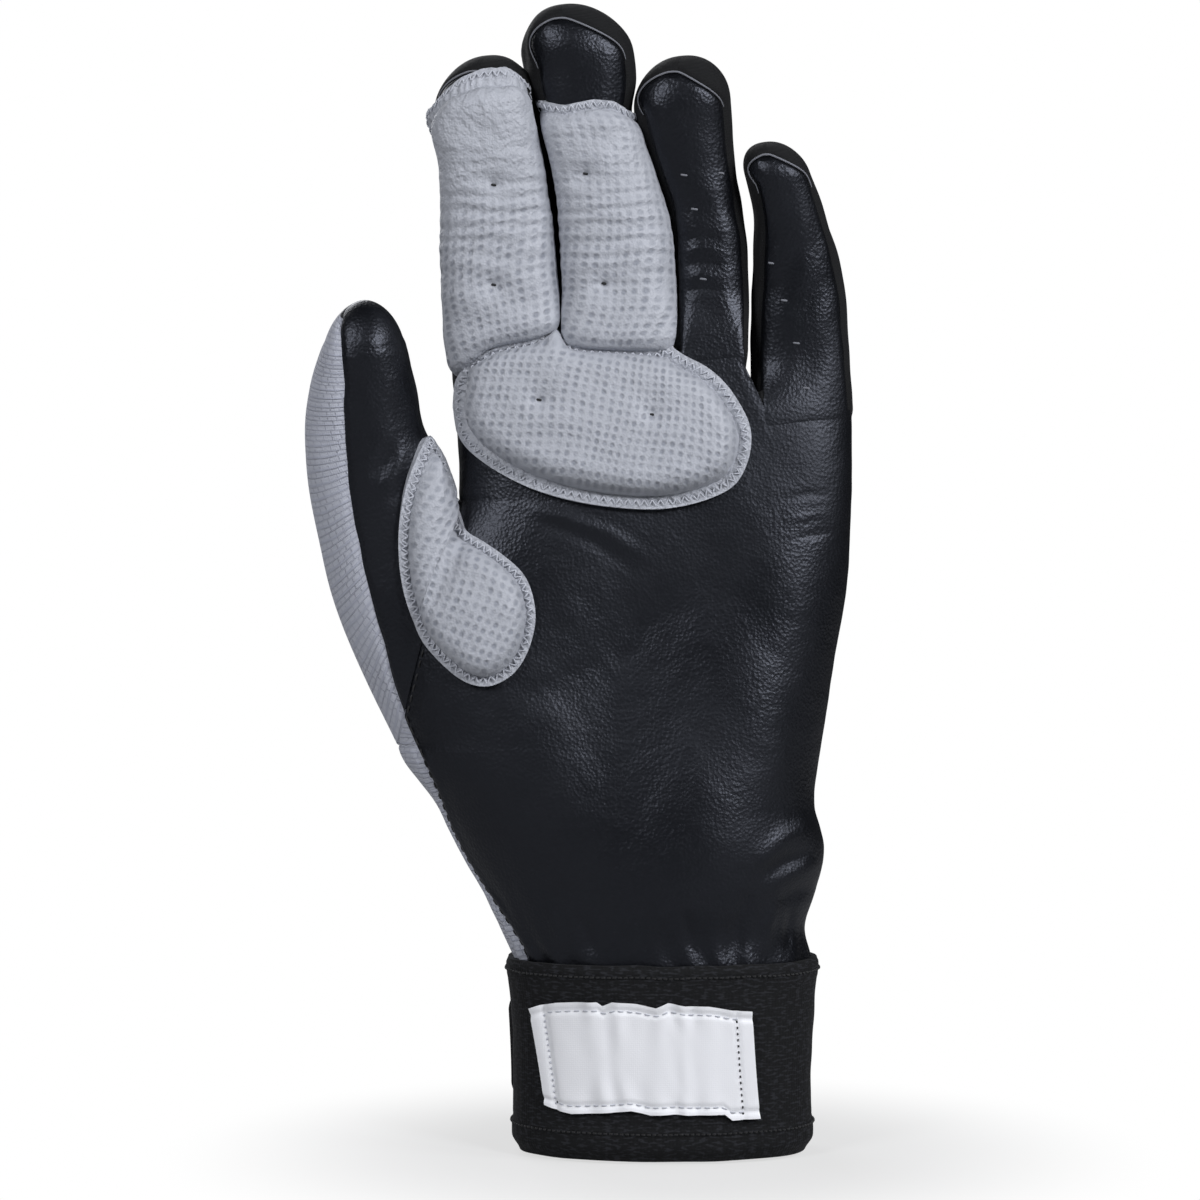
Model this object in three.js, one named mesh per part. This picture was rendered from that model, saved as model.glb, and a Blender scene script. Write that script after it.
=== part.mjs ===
// Protective inner glove for the left hand, padded on the palm side.
// It stands on its cuff with the fingers up: X runs from the thumb to the little finger,
// the palm faces -Y and Z is up. Lengths are millimetres, angles are degrees.

import * as THREE from 'three';
import { mergeVertices } from 'three/addons/utils/BufferGeometryUtils.js';

// Sheet thicknesses and clearances
const leatherThickness = 1.2;
const knitThickness = 1.1;
const stretchThickness = 1.0;
const padCoverThickness = 1.1;
const seamGap = 0.3;
const foldGap = 0.4;
const weldDistance = 0.002;

// Cuff
const cuffWidth = 64.4;
const cuffDepth = 39.6;
const cuffHeight = 41;
const cuffFlare = 1.3;
const cuffOffset = 0.5;
const cuffThickness = 1.6;
const cuffTuck = 5;
const cuffSlit = 11;

// Hand, from the top of the cuff to the fold of the middle finger
const handHeight = 129.9;
const palmDepth = 36;
const thumbRootDepth = 28;
const thumbLength = 71.8;
const thumbCurl = 14;

// Fingers: width across the palm, depth from front to back, length from the fold to the tip
const indexWidth = 23.4;
const indexDepth = 22.6;
const indexLength = 62.6;
const middleWidth = 21.6;
const middleDepth = 23.6;
const middleLength = 73;
const ringWidth = 15.3;
const ringDepth = 22.4;
const ringLength = 62.4;
const littleWidth = 21.6;
const littleDepth = 20;
const littleLength = 59.7;
const fingerGap = 1.6;
const fingerCurl = 12;
const indexFoldDrop = 1.3;
const ringFoldDrop = 0.9;
const littleFoldDrop = 13.9;

// Angles
const fingerLean = 6;
const frontHalfAngle = 52;
const stripAngle = 64;
const ulnarWrap = 16;
const radialSeamTurn = 15;
const palmPadLeanAngle = 4.5;
const thumbLobeLeanAngle = 9;

// Pads
const padFlange = 2.6;
const padShoulder = 4.6;
const palmPadWidth = 59;
const palmPadHeight = 30;
const palmPadRise = 5.2;
const palmPadDrop = 17.2;
const fingerPadRise = 3.6;
const thumbPadRise = 4.4;
const thumbPadWidth = 18.4;
const thumbPadHeight = 31;
const thumbLobeWidth = 9.2;
const thumbLobeHeight = 36;
const padFoldSetback = 2;
const tuftRadius = 3.2;
const tuftDepth = 1.3;

// Label
const labelWidth = 41.6;
const labelHeight = 24;
const labelThickness = 0.6;
const labelRise = 8.6;
const labelOffset = -3;

// Cuff tab
const tabHeight = 26;
const tabLength = 45;
const tabThickness = 1.4;
const tabRise = 8;
const patchThickness = 0.8;
const loopLength = 31;
const hookLength = 16;
const hookSetback = 2.4;
const anchorLength = 8;

// Webs between the fingers
const webThickness = 1;
const webDepth = 5;
const webSetback = 0.8;

// Colours
const blackLeather = new THREE.MeshStandardMaterial({ color: '#1b1c20', roughness: 0.42, metalness: 0 });
const greyLeather = new THREE.MeshStandardMaterial({ color: '#b6b8c0', roughness: 0.55, metalness: 0 });
const greyKnit = new THREE.MeshStandardMaterial({ color: '#9fa2ad', roughness: 0.85, metalness: 0 });
const blackStretch = new THREE.MeshStandardMaterial({ color: '#141518', roughness: 0.8, metalness: 0 });
const blackElastic = new THREE.MeshStandardMaterial({ color: '#17181b', roughness: 0.85, metalness: 0 });
const whiteWoven = new THREE.MeshStandardMaterial({ color: '#e6e7ea', roughness: 0.8, metalness: 0 });
const paleFoam = new THREE.MeshStandardMaterial({ color: '#d9d6c8', roughness: 0.95, metalness: 0 });
const blackHook = new THREE.MeshStandardMaterial({ color: '#101113', roughness: 0.95, metalness: 0 });

const glove = new THREE.Group();
const radians = THREE.MathUtils.degToRad;
const degreesOf = THREE.MathUtils.radToDeg;
const frontTurn = 90;
const halfTurn = 180;
const fullTurn = 360;
const palmward = new THREE.Vector3(0, -1, 0);

// Small mathematics

function mix(a, b, t) {
  return a + (b - a) * t;
}

function steps(count) {
  return Array.from({ length: count + 1 }, (_, k) => k / count);
}

// A smooth curve through a table, read at one place
function tableAt(places, values, place) {
  const last = places.length - 1;
  if (place <= places[0]) return values[0];
  if (place >= places[last]) return values[last];
  let k = 0;
  while (place > places[k + 1]) k += 1;
  const span = places[k + 1] - places[k];
  const t = (place - places[k]) / span;
  const slope = (i) => {
    const low = Math.max(i - 1, 0);
    const high = Math.min(i + 1, last);
    return (values[high] - values[low]) / (places[high] - places[low]);
  };
  const t2 = t * t;
  const t3 = t2 * t;
  return (
    (2 * t3 - 3 * t2 + 1) * values[k] +
    (t3 - 2 * t2 + t) * span * slope(k) +
    (3 * t2 - 2 * t3) * values[k + 1] +
    (t3 - t2) * span * slope(k + 1)
  );
}

// A point of a rounded box section; 0 degrees is its side and 90 degrees its front
function sectionPoint(section, degrees) {
  const angle = radians(degrees);
  const c = Math.cos(angle);
  const s = Math.sin(angle);
  const reach = 1 / (Math.abs(c) ** section.power + Math.abs(s) ** section.power) ** (1 / section.power);
  return section.centre
    .clone()
    .addScaledVector(section.side, section.halfWidth * reach * c)
    .addScaledVector(section.front, section.halfDepth * reach * s);
}

// The outward direction of a surface given as a function of two parameters
function outward(surface, a, b, stepA, stepB) {
  const alongA = surface(a + stepA, b).sub(surface(a - stepA, b));
  const alongB = surface(a, b + stepB).sub(surface(a, b - stepB));
  const normal = alongA.cross(alongB);
  return normal.lengthSq() > 0 ? normal.normalize() : normal;
}

// A closed solid between two grids of points. From row closedFrom on, its first and last columns meet.
function gridSolid(outer, inner, closedFrom = Infinity) {
  const triangles = [];
  const quad = (a, b, c, d) => triangles.push([a, b, c], [a, c, d]);
  const rows = outer.length - 1;
  const columns = outer[0].length - 1;
  for (let i = 0; i < rows; i += 1) {
    for (let j = 0; j < columns; j += 1) {
      quad(outer[i][j], outer[i + 1][j], outer[i + 1][j + 1], outer[i][j + 1]);
      quad(inner[i][j], inner[i][j + 1], inner[i + 1][j + 1], inner[i + 1][j]);
    }
    if (i < closedFrom) {
      quad(outer[i + 1][0], outer[i][0], inner[i][0], inner[i + 1][0]);
      quad(outer[i][columns], outer[i + 1][columns], inner[i + 1][columns], inner[i][columns]);
    }
  }
  for (let j = 0; j < columns; j += 1) {
    quad(outer[0][j], outer[0][j + 1], inner[0][j + 1], inner[0][j]);
    quad(outer[rows][j + 1], outer[rows][j], inner[rows][j], inner[rows][j + 1]);
  }
  return solidFromTriangles(triangles);
}

function solidFromTriangles(triangles) {
  const apart = (a, b) => a.distanceTo(b) > weldDistance;
  const sound = triangles.filter(([a, b, c]) => apart(a, b) && apart(b, c) && apart(c, a));
  const volume = sound.reduce((sum, [a, b, c]) => sum + a.dot(b.clone().cross(c)), 0);
  const ordered = volume < 0 ? sound.map(([a, b, c]) => [a, c, b]) : sound;
  const geometry = new THREE.BufferGeometry().setFromPoints(ordered.flat());
  const welded = mergeVertices(geometry, weldDistance);
  welded.computeVertexNormals();
  return welded;
}

function add(name, geometry, material) {
  const mesh = new THREE.Mesh(geometry, material);
  mesh.name = name;
  glove.add(mesh);
  return mesh;
}

// The layout across the knuckles: each finger's column follows from the widths and the gaps
const lean = radians(fingerLean);
const leanCos = Math.cos(lean);
const leanSin = Math.sin(lean);
const columnWidths = [indexWidth, middleWidth, ringWidth, littleWidth].map((width) => width * leanCos);
const gapCount = columnWidths.length - 1;
const palmWidth = columnWidths.reduce((sum, width) => sum + width, 0) + gapCount * fingerGap;
const radialTopShare = 0.521;
const columnLeft = [-radialTopShare * palmWidth];
for (let k = 1; k < columnWidths.length; k += 1) {
  columnLeft.push(columnLeft[k - 1] + columnWidths[k - 1] + fingerGap);
}
const foldTop = cuffHeight + handHeight;
const foldDrops = [indexFoldDrop, 0, ringFoldDrop, littleFoldDrop];
const folds = columnLeft.map((left, k) => ({
  left,
  right: left + columnWidths[k],
  x: left + columnWidths[k] / 2,
  z: foldTop - foldDrops[k],
}));

function foldHeightAt(fold, x) {
  return fold.z + ((x - fold.x) * leanSin) / leanCos;
}

// The cuff's own section, which the hand's lower edge follows inside it
const cuffLevelShares = [0, 0.06, 0.35, 0.7, 1];
const cuffFlareShares = [-0.5, 0, -0.2, 0.25, 1];
const cuffPower = 2.3;

function cuffSection(z) {
  const flare = cuffFlare * tableAt(cuffLevelShares, cuffFlareShares, z / cuffHeight);
  return {
    centre: new THREE.Vector3(cuffOffset, 0, z),
    side: new THREE.Vector3(1, 0, 0),
    front: palmward,
    halfWidth: cuffWidth / 2 + flare,
    halfDepth: cuffDepth / 2 + flare,
    power: cuffPower,
  };
}

function cuffSurface(z, degrees) {
  return sectionPoint(cuffSection(z), degrees);
}

// The turn at which a section reaches a place across it, on its front or on its back
function turnAt(section, x, limitShare, onBack = false) {
  const across = THREE.MathUtils.clamp((x - section.centre.x) / section.halfWidth, -limitShare, limitShare);
  const depth = (1 - Math.abs(across) ** section.power) ** (1 / section.power);
  const degrees = degreesOf(Math.atan2(depth, across));
  return onBack ? fullTurn - degrees : degrees;
}

// The hand's outline and thickness, up from the cuff
const handHeightShares = [0, 0.05, 0.116, 0.182, 0.249, 0.348, 0.48, 0.613, 0.754, 0.878, 1];
const radialEdgeShares = [0.401, 0.448, 0.501, 0.555, 0.652, 0.6, 0.55, 0.498, 0.503, 0.521];
const ulnarEdgeShares = [0.36, 0.392, 0.409, 0.384, 0.399, 0.431, 0.464, 0.476, 0.477, 0.479];
const handDepthShares = [1.04, 1.06, 1.06, 1.04, 1.0, 0.98, 0.94, 0.86, 0.76, 0.69];
const handPowers = [2.3, 2.3, 2.3, 2.4, 2.5, 2.6, 2.7, 2.9, 3.1, 3.4, 3.8];
const thumbFoldShares = [0.348, 0.754];

const rootDepthLimitShare = 0.97;
const wristInset = cuffThickness + seamGap;
const wristHalfWidth = cuffWidth / 2 + cuffFlare - wristInset;
const wristHalfDepth = cuffDepth / 2 + cuffFlare - wristInset;
const radialEdges = [cuffOffset - wristHalfWidth, ...radialEdgeShares.map((share) => -share * palmWidth)];
const ulnarEdges = [cuffOffset + wristHalfWidth, ...ulnarEdgeShares.map((share) => share * palmWidth)];
const handHalfDepths = [wristHalfDepth, ...handDepthShares.map((share) => (share * palmDepth) / 2)];

const [thumbFoldLow, thumbFoldHigh] = thumbFoldShares.map((share) => cuffHeight + share * handHeight);
const thumbFoldLowX = tableAt(handHeightShares, radialEdges, thumbFoldShares[0]);
const thumbFoldHighX = tableAt(handHeightShares, radialEdges, thumbFoldShares[1]);

function inThumbFold(z) {
  return z > thumbFoldLow && z < thumbFoldHigh;
}

// The section of the hand at a height. Beside the thumb it is cut off along the thumb's fold,
// where it is as deep as the thumb's root.
function handSection(z) {
  const share = (z - cuffHeight) / handHeight;
  const right = tableAt(handHeightShares, ulnarEdges, share);
  const halfDepth = tableAt(handHeightShares, handHalfDepths, share);
  const power = tableAt(handHeightShares, handPowers, share);
  let left = tableAt(handHeightShares, radialEdges, share);
  let halfWidth = (right - left) / 2;
  let start = halfTurn;
  if (z < cuffHeight) {
    const cuff = cuffSection(z);
    const tucked = { halfWidth: cuff.halfWidth - wristInset, halfDepth: cuff.halfDepth - wristInset };
    return { ...cuff, ...tucked, start };
  }
  if (inThumbFold(z)) {
    const t = (z - thumbFoldLow) / (thumbFoldHigh - thumbFoldLow);
    left = mix(thumbFoldLowX, thumbFoldHighX, t) + foldGap / 2;
    const rootDepth = thumbRootDepth * Math.sqrt(t * (1 - t));
    const frontShare = Math.min(rootDepth / halfDepth, rootDepthLimitShare);
    const sideShare = (1 - frontShare ** power) ** (1 / power);
    halfWidth = (right - left) / (1 + sideShare);
    start = degreesOf(Math.atan2(frontShare, -sideShare));
  }
  const centre = new THREE.Vector3(right - halfWidth, 0, z);
  return { centre, side: new THREE.Vector3(1, 0, 0), front: palmward, halfWidth, halfDepth, power, start };
}

function handSurface(z, degrees) {
  return sectionPoint(handSection(z), degrees);
}

const fineHeight = handHeight / 500;
const fineTurn = 0.5;

function handNormal(z, degrees) {
  return outward(handSurface, z, degrees, fineHeight, fineTurn);
}

// The front of the hand straight in front of a place on its middle plane
function handFront(x, z) {
  const section = handSection(z);
  const across = Math.min(Math.abs(x - section.centre.x) / section.halfWidth, 1);
  const depth = section.halfDepth * (1 - across ** section.power) ** (1 / section.power);
  return new THREE.Vector3(x, -depth, z);
}

// The seam between the palm leather and the knitted back, seen from the thumb's side
function radialSeam(z) {
  const share = THREE.MathUtils.clamp((z - cuffHeight) / (thumbFoldLow - cuffHeight), 0, 1);
  return halfTurn - radialSeamTurn * Math.sin(Math.PI * share) ** 2;
}

// Columns of the hand's two panels, as places across the knuckles
const cornerShare = 0.985;
const topSection = handSection(foldTop);

const columnCounts = [4, 4, 3, 4];
const columnStops = [];
folds.forEach((fold, k) => {
  const from = k === 0 ? fold.left : (folds[k - 1].right + fold.left + seamGap) / 2;
  const to = k === folds.length - 1 ? fold.right : (fold.right + folds[k + 1].left - seamGap) / 2;
  steps(columnCounts[k]).forEach((t) => columnStops.push({ x: mix(from, to, t), fold }));
});

function panelTop(stop) {
  return foldHeightAt(stop.fold, stop.x) - foldGap / 2;
}

const panelLevelShares = [
  0, 0.055, 0.12, 0.19, 0.26, 0.31, 0.335, 0.348, 0.352, 0.361, 0.378, 0.41,
  0.47, 0.56, 0.65, 0.71, 0.74, 0.75, 0.754, 0.775, 0.84,
];
const panelTopShares = [0.55, 1];
const seamInsetShare = 0.8;

function seamInset(section) {
  return degreesOf((seamGap * seamInsetShare) / Math.min(section.halfDepth, section.halfWidth));
}

// One panel of the hand, as rows up the hand and columns from one seam to the other
function handPanel(stops, from, to, thickness) {
  const base = [cuffHeight - cuffTuck, ...panelLevelShares.map((share) => cuffHeight + share * handHeight)];
  const outer = [];
  const inner = [];
  const addRow = (heightOf) => {
    const outerRow = [];
    const innerRow = [];
    stops.forEach((stop, j) => {
      const z = heightOf(stop);
      const inset = seamInset(handSection(z)) * Math.sign(to(z) - from(z));
      const edge = (j === 0 ? inset : 0) - (j === stops.length - 1 ? inset : 0);
      const degrees = mix(from(z), to(z), stop.share) + edge;
      const point = handSurface(z, degrees);
      outerRow.push(point);
      innerRow.push(point.clone().addScaledVector(handNormal(z, degrees), -thickness));
    });
    outer.push(outerRow);
    inner.push(innerRow);
  };
  base.forEach((z) => addRow(() => z));
  const last = base[base.length - 1];
  panelTopShares.forEach((t) => addRow((stop) => mix(last, panelTop(stop), t)));
  return gridSolid(outer, inner);
}

const littleFold = folds[folds.length - 1];
const frontStops = columnStops.map((stop) => ({
  ...stop,
  degrees: turnAt(topSection, stop.x, cornerShare),
}));
const ulnarStops = [0, -ulnarWrap].map((degrees) => ({ x: littleFold.right, fold: littleFold, degrees }));
const frontPanelStops = [...frontStops, ...ulnarStops].map((stop) => ({
  ...stop,
  share: (halfTurn - stop.degrees) / (halfTurn + ulnarWrap),
}));
frontPanelStops[0].share = 0;
const backPanelStops = frontStops.map((stop) => ({
  ...stop,
  share: (halfTurn - stop.degrees) / (halfTurn - ulnarWrap),
}));
backPanelStops[0].share = 0;
backPanelStops[backPanelStops.length - 1].share = 1;

const frontEdge = (z) => (inThumbFold(z) ? handSection(z).start : radialSeam(z));
const backEdge = (z) => (inThumbFold(z) ? fullTurn - handSection(z).start : radialSeam(z));

add('palm_panel', handPanel(frontPanelStops, frontEdge, () => -ulnarWrap, leatherThickness), blackLeather);
add('back_panel', handPanel(backPanelStops, backEdge, () => fullTurn - ulnarWrap, knitThickness), greyKnit);

// Digits: four fingers and the thumb share one way of building. A digit is a row of sections from
// its fold to its tip, sewn from a leather front, side strips and a back that wraps over the tip.

const digitRowShares = [0, 0.11, 0.24, 0.38, 0.51, 0.64, 0.77, 0.87, 0.94];
const capRows = 5;
const capPower = 2.2;
const rootSquareShare = 0.25;
const archRowsFromTip = 2;
const archShare = 0.45;
const stripTaperShare = 0.94;
const tipShare = 0.99;
const fineShare = 0.002;
const fineDegrees = 1;
const frontColumns = 6;
const backColumns = 10;
const stripColumns = 3;

function capShrink(digit, s) {
  const t = THREE.MathUtils.clamp((s - digit.capShare) / (1 - digit.capShare), 0, 1);
  return (1 - t ** capPower) ** (1 / capPower);
}

function digitRows(digit) {
  const body = digitRowShares.map((share) => share * digit.capShare);
  const cap = steps(capRows).map((t) => mix(digit.capShare, 1, Math.sin((t * Math.PI) / 2)));
  return [...body, ...cap];
}

function digitSection(digit, s) {
  const low = digit.centre(Math.max(s - fineShare, 0));
  const high = digit.centre(Math.min(s + fineShare, 1));
  const along = high.sub(low).normalize();
  const rib = digit.rib(s);
  const shrink = capShrink(digit, s);
  const square = THREE.MathUtils.smoothstep(s, 0, rootSquareShare);
  const front = palmward.clone().addScaledVector(along, -palmward.dot(along) * square).normalize();
  const side = rib.side.clone().addScaledVector(front, -rib.side.dot(front)).normalize();
  return {
    centre: digit.centre(s),
    side,
    front,
    halfWidth: rib.halfWidth * shrink,
    halfDepth: rib.halfDepth * shrink,
    power: rib.power,
  };
}

function digitSurface(digit) {
  return (s, degrees) => sectionPoint(digitSection(digit, s), degrees);
}

function digitPatch(digit, rows, from, to, columns, thickness, closedFrom) {
  const surface = digitSurface(digit);
  const tip = digitTip(digit);
  const normalAt = (s, degrees) => {
    if (s === 1) return tip;
    const safe = THREE.MathUtils.clamp(s, 2 * fineShare, tipShare);
    return outward(surface, safe, degrees, fineShare, fineDegrees);
  };
  const outer = [];
  const inner = [];
  rows.forEach((s, i) => {
    const closed = i >= closedFrom;
    const inset = closed ? 0 : seamInset(digitSection(digit, s));
    const start = closed ? digit.frontCentre : from(s) + inset;
    const end = closed ? digit.frontCentre + fullTurn : to(s) - inset;
    const outerRow = [];
    const innerRow = [];
    for (let j = 0; j <= columns; j += 1) {
      const degrees = mix(start, end, j / columns);
      const point = surface(s, degrees);
      outerRow.push(point);
      innerRow.push(point.clone().addScaledVector(normalAt(s, degrees), -thickness));
    }
    outer.push(outerRow);
    inner.push(innerRow);
  });
  return gridSolid(outer, inner, closedFrom);
}

function digitTip(digit) {
  return digit.centre(1).sub(digit.centre(tipShare)).normalize();
}

function buildDigit(name, digit, materials) {
  const rows = digitRows(digit);
  const arch = rows.length - 1 - archRowsFromTip;
  const frontHalf = (s) => {
    const t = THREE.MathUtils.clamp((s - digit.capShare) / (rows[arch] - digit.capShare), 0, 1);
    return mix(digit.frontHalf, digit.frontHalf * archShare, t * t);
  };
  const stripAt = (s, width) => {
    if (s >= digit.stripShare) return 0;
    return width * (1 - THREE.MathUtils.smoothstep(s, 0, digit.stripShare) * stripTaperShare);
  };
  const lowFront = (s) => digit.frontCentre - frontHalf(s);
  const highFront = (s) => digit.frontCentre + frontHalf(s);
  const lowBack = (s) => lowFront(s) - stripAt(s, digit.lowStrip);
  const highBack = (s) => highFront(s) + stripAt(s, digit.highStrip);
  const backEnd = (s) => lowBack(s) + fullTurn;
  const frontRows = rows.slice(0, arch + 1);
  const stripRows = rows.filter((s) => s < digit.stripShare);
  const patch = (patchRows, from, to, columns, thickness, closedFrom) =>
    digitPatch(digit, patchRows, from, to, columns, thickness, closedFrom);
  const front = patch(frontRows, lowFront, highFront, frontColumns, leatherThickness, Infinity);
  const back = patch(rows, highBack, backEnd, backColumns, materials.backThickness, arch + 1);
  add(`${name}_front`, front, materials.front);
  add(`${name}_back`, back, materials.back);
  if (digit.lowStrip) {
    const strip = patch(stripRows, lowBack, lowFront, stripColumns, stretchThickness, Infinity);
    add(digit.lowName, strip, materials.strip);
  }
  if (digit.highStrip) {
    const strip = patch(stripRows, highFront, highBack, stripColumns, stretchThickness, Infinity);
    add(digit.highName, strip, materials.strip);
  }
}

// Fingers
const fingerAlong = new THREE.Vector3(-leanSin, 0, leanCos);
const fingerSide = new THREE.Vector3(leanCos, 0, leanSin);
const fingerDepthPlaceShares = [0, 0.3, 0.6, 0.85, 1];
const fingerDepthShares = [1, 0.97, 0.88, 0.8, 0.76];
const fingerRootPower = 3.6;
const fingerTipPower = 2.4;
const powerReachShare = 0.5;
const fingerStripShare = 0.8;

function finger(fold, size, shape) {
  const tipWidth = size.width * shape.widthShares[shape.widthShares.length - 1];
  const root = new THREE.Vector3(fold.x, 0, fold.z);
  return {
    capShare: 1 - (tipWidth / 2) / size.length,
    frontCentre: frontTurn,
    frontHalf: frontHalfAngle,
    stripShare: fingerStripShare,
    lowStrip: shape.lowName ? stripAngle : 0,
    highStrip: shape.highName ? stripAngle : 0,
    lowName: shape.lowName,
    highName: shape.highName,
    centre(s) {
      return root
        .clone()
        .addScaledVector(fingerAlong, foldGap / 2 + s * (size.length - foldGap / 2))
        .addScaledVector(fingerSide, tableAt(shape.heightShares, shape.driftShares, s) * size.width)
        .addScaledVector(palmward, fingerCurl * s * s);
    },
    rib(s) {
      return {
        side: fingerSide,
        halfWidth: (tableAt(shape.heightShares, shape.widthShares, s) * size.width) / 2,
        halfDepth: (tableAt(fingerDepthPlaceShares, fingerDepthShares, s) * size.depth) / 2,
        power: mix(fingerRootPower, fingerTipPower, Math.min(s / powerReachShare, 1)),
      };
    },
  };
}

const indexShape = {
  heightShares: [0, 0.23, 0.43, 0.64, 0.78, 0.87, 1],
  driftShares: [0, 0.014, 0.053, 0.065, 0.035, 0.07, 0.164],
  widthShares: [1, 1.03, 1.01, 0.925, 0.92, 0.9, 0.86],
  lowName: 'index_fourchette',
};
const middleShape = {
  heightShares: [0, 0.17, 0.34, 0.52, 0.64, 0.76, 0.87, 1],
  driftShares: [0, 0.055, 0.055, 0.01, -0.012, -0.035, -0.06, -0.17],
  widthShares: [1, 1.014, 0.98, 0.958, 0.97, 1.02, 1.03, 0.98],
  lowName: 'middle_fourchette_ulnar',
  highName: 'middle_fourchette_radial',
};
const ringShape = {
  heightShares: [0, 0.16, 0.36, 0.57, 0.71, 0.84, 1],
  driftShares: [0, 0.078, 0.1, 0.078, 0.065, 0.075, 0.075],
  widthShares: [1, 1, 1.045, 1.13, 1.16, 1.14, 1.1],
  lowName: 'ring_fourchette_ulnar',
  highName: 'ring_fourchette_radial',
};
const littleShape = {
  heightShares: [0, 0.24, 0.45, 0.59, 0.74, 0.88, 1],
  driftShares: [0, 0.07, 0.12, 0.122, 0.07, -0.03, -0.2],
  widthShares: [1, 0.97, 0.87, 0.79, 0.73, 0.67, 0.6],
  highName: 'little_fourchette',
};

const indexSize = { width: indexWidth, depth: indexDepth, length: indexLength };
const middleSize = { width: middleWidth, depth: middleDepth, length: middleLength };
const ringSize = { width: ringWidth, depth: ringDepth, length: ringLength };
const littleSize = { width: littleWidth, depth: littleDepth, length: littleLength };
const indexFinger = finger(folds[0], indexSize, indexShape);
const middleFinger = finger(folds[1], middleSize, middleShape);
const ringFinger = finger(folds[2], ringSize, ringShape);
const littleFinger = finger(folds[3], littleSize, littleShape);

const fingerMaterials = {
  front: blackLeather,
  back: blackStretch,
  strip: blackStretch,
  backThickness: stretchThickness,
};
buildDigit('index', indexFinger, fingerMaterials);
buildDigit('middle', middleFinger, fingerMaterials);
buildDigit('ring', ringFinger, fingerMaterials);
buildDigit('little', littleFinger, fingerMaterials);

// Thumb: its ribs run from the inner edge, beside the index finger, to the outer edge.
// Each end is a place away from the middle of the fold: out from the fold, and along it.
const thumbInnerShares = [
  [0, 0], [0.036, 0.403], [0.095, 0.498], [0.155, 0.566], [0.209, 0.685], [0.266, 0.795],
];
const thumbOuterShares = [
  [0, 0], [0.243, -0.078], [0.379, 0.167], [0.48, 0.419], [0.507, 0.583], [0.508, 0.736],
];
const thumbTipShares = [0.428, 0.903];
const thumbRibShares = [0, 0.2, 0.38, 0.56, 0.72, 0.88];
const thumbDepthShares = [1, 0.93, 0.87, 0.83, 0.78, 0.7];
const thumbPowers = [2, 2.2, 2.3, 2.4, 2.4, 2.4];
const thumbCurlPower = 1.5;

const thumbFoldMiddle = new THREE.Vector3(
  (thumbFoldLowX + thumbFoldHighX) / 2,
  0,
  (thumbFoldLow + thumbFoldHigh) / 2,
);
const thumbFoldVector = new THREE.Vector3(thumbFoldHighX - thumbFoldLowX, 0, thumbFoldHigh - thumbFoldLow);
const thumbFoldHalf = thumbFoldVector.length() / 2;
const thumbFoldAlong = thumbFoldVector.clone().normalize();
const thumbOut = new THREE.Vector3(-thumbFoldAlong.z, 0, thumbFoldAlong.x);

function thumbPlace([out, along]) {
  return thumbFoldMiddle
    .clone()
    .addScaledVector(thumbOut, out * thumbLength + foldGap / 2)
    .addScaledVector(thumbFoldAlong, along * thumbLength);
}

const thumbInner = thumbInnerShares.map(thumbPlace);
const thumbOuter = thumbOuterShares.map(thumbPlace);
thumbInner[0].addScaledVector(thumbFoldAlong, thumbFoldHalf);
thumbOuter[0].addScaledVector(thumbFoldAlong, -thumbFoldHalf);
const thumbTip = thumbPlace(thumbTipShares);

function placeAt(places, points, place) {
  const read = (axis) => tableAt(places, points.map((point) => point[axis]), place);
  return new THREE.Vector3(read('x'), read('y'), read('z'));
}

const thumbCapShare = thumbRibShares[thumbRibShares.length - 1];
const thumb = {
  capShare: thumbCapShare,
  frontCentre: 60,
  frontHalf: 50,
  stripShare: 0.62,
  lowStrip: 50,
  highStrip: 0,
  lowName: 'thumb_gusset',
  centre(s) {
    const middles = thumbInner.map((point, k) => point.clone().add(thumbOuter[k]).multiplyScalar(0.5));
    const point = placeAt([...thumbRibShares, 1], [...middles, thumbTip], s);
    return point.addScaledVector(palmward, thumbCurl * s ** thumbCurlPower);
  },
  rib(s) {
    const spans = thumbOuter.map((point, k) => thumbInner[k].clone().sub(point));
    const span = placeAt(thumbRibShares, spans, s);
    return {
      side: span.clone().normalize(),
      halfWidth: span.length() / 2,
      halfDepth: (tableAt(thumbRibShares, thumbDepthShares, s) * thumbRootDepth) / 2,
      power: tableAt(thumbRibShares, thumbPowers, s),
    };
  },
};
buildDigit('thumb', thumb, {
  front: blackLeather,
  back: greyKnit,
  strip: blackStretch,
  backThickness: knitThickness,
});

// Pads: a cover with a sewn flange and a rounded crown, and the foam that fills it.
// A pad lies on a surface, inside a rounded outline given in that surface's own parameters.
const padRings = [0, 0.28, 0.5, 0.68, 0.8, 0.89, 1];
const padColumns = 26;
const foamSetback = padFlange + padShoulder * 0.22;

function padHeight(fromEdge, rise) {
  const t = THREE.MathUtils.clamp((fromEdge - padFlange) / padShoulder, 0, 1);
  return rise * Math.sqrt(1 - (1 - t) * (1 - t));
}

function outlinePoint(pad, share, turn) {
  const c = Math.cos(turn);
  const s = Math.sin(turn);
  const reach = share / (Math.abs(c) ** pad.power + Math.abs(s) ** pad.power) ** (1 / pad.power);
  return [reach * c, reach * s];
}

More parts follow.
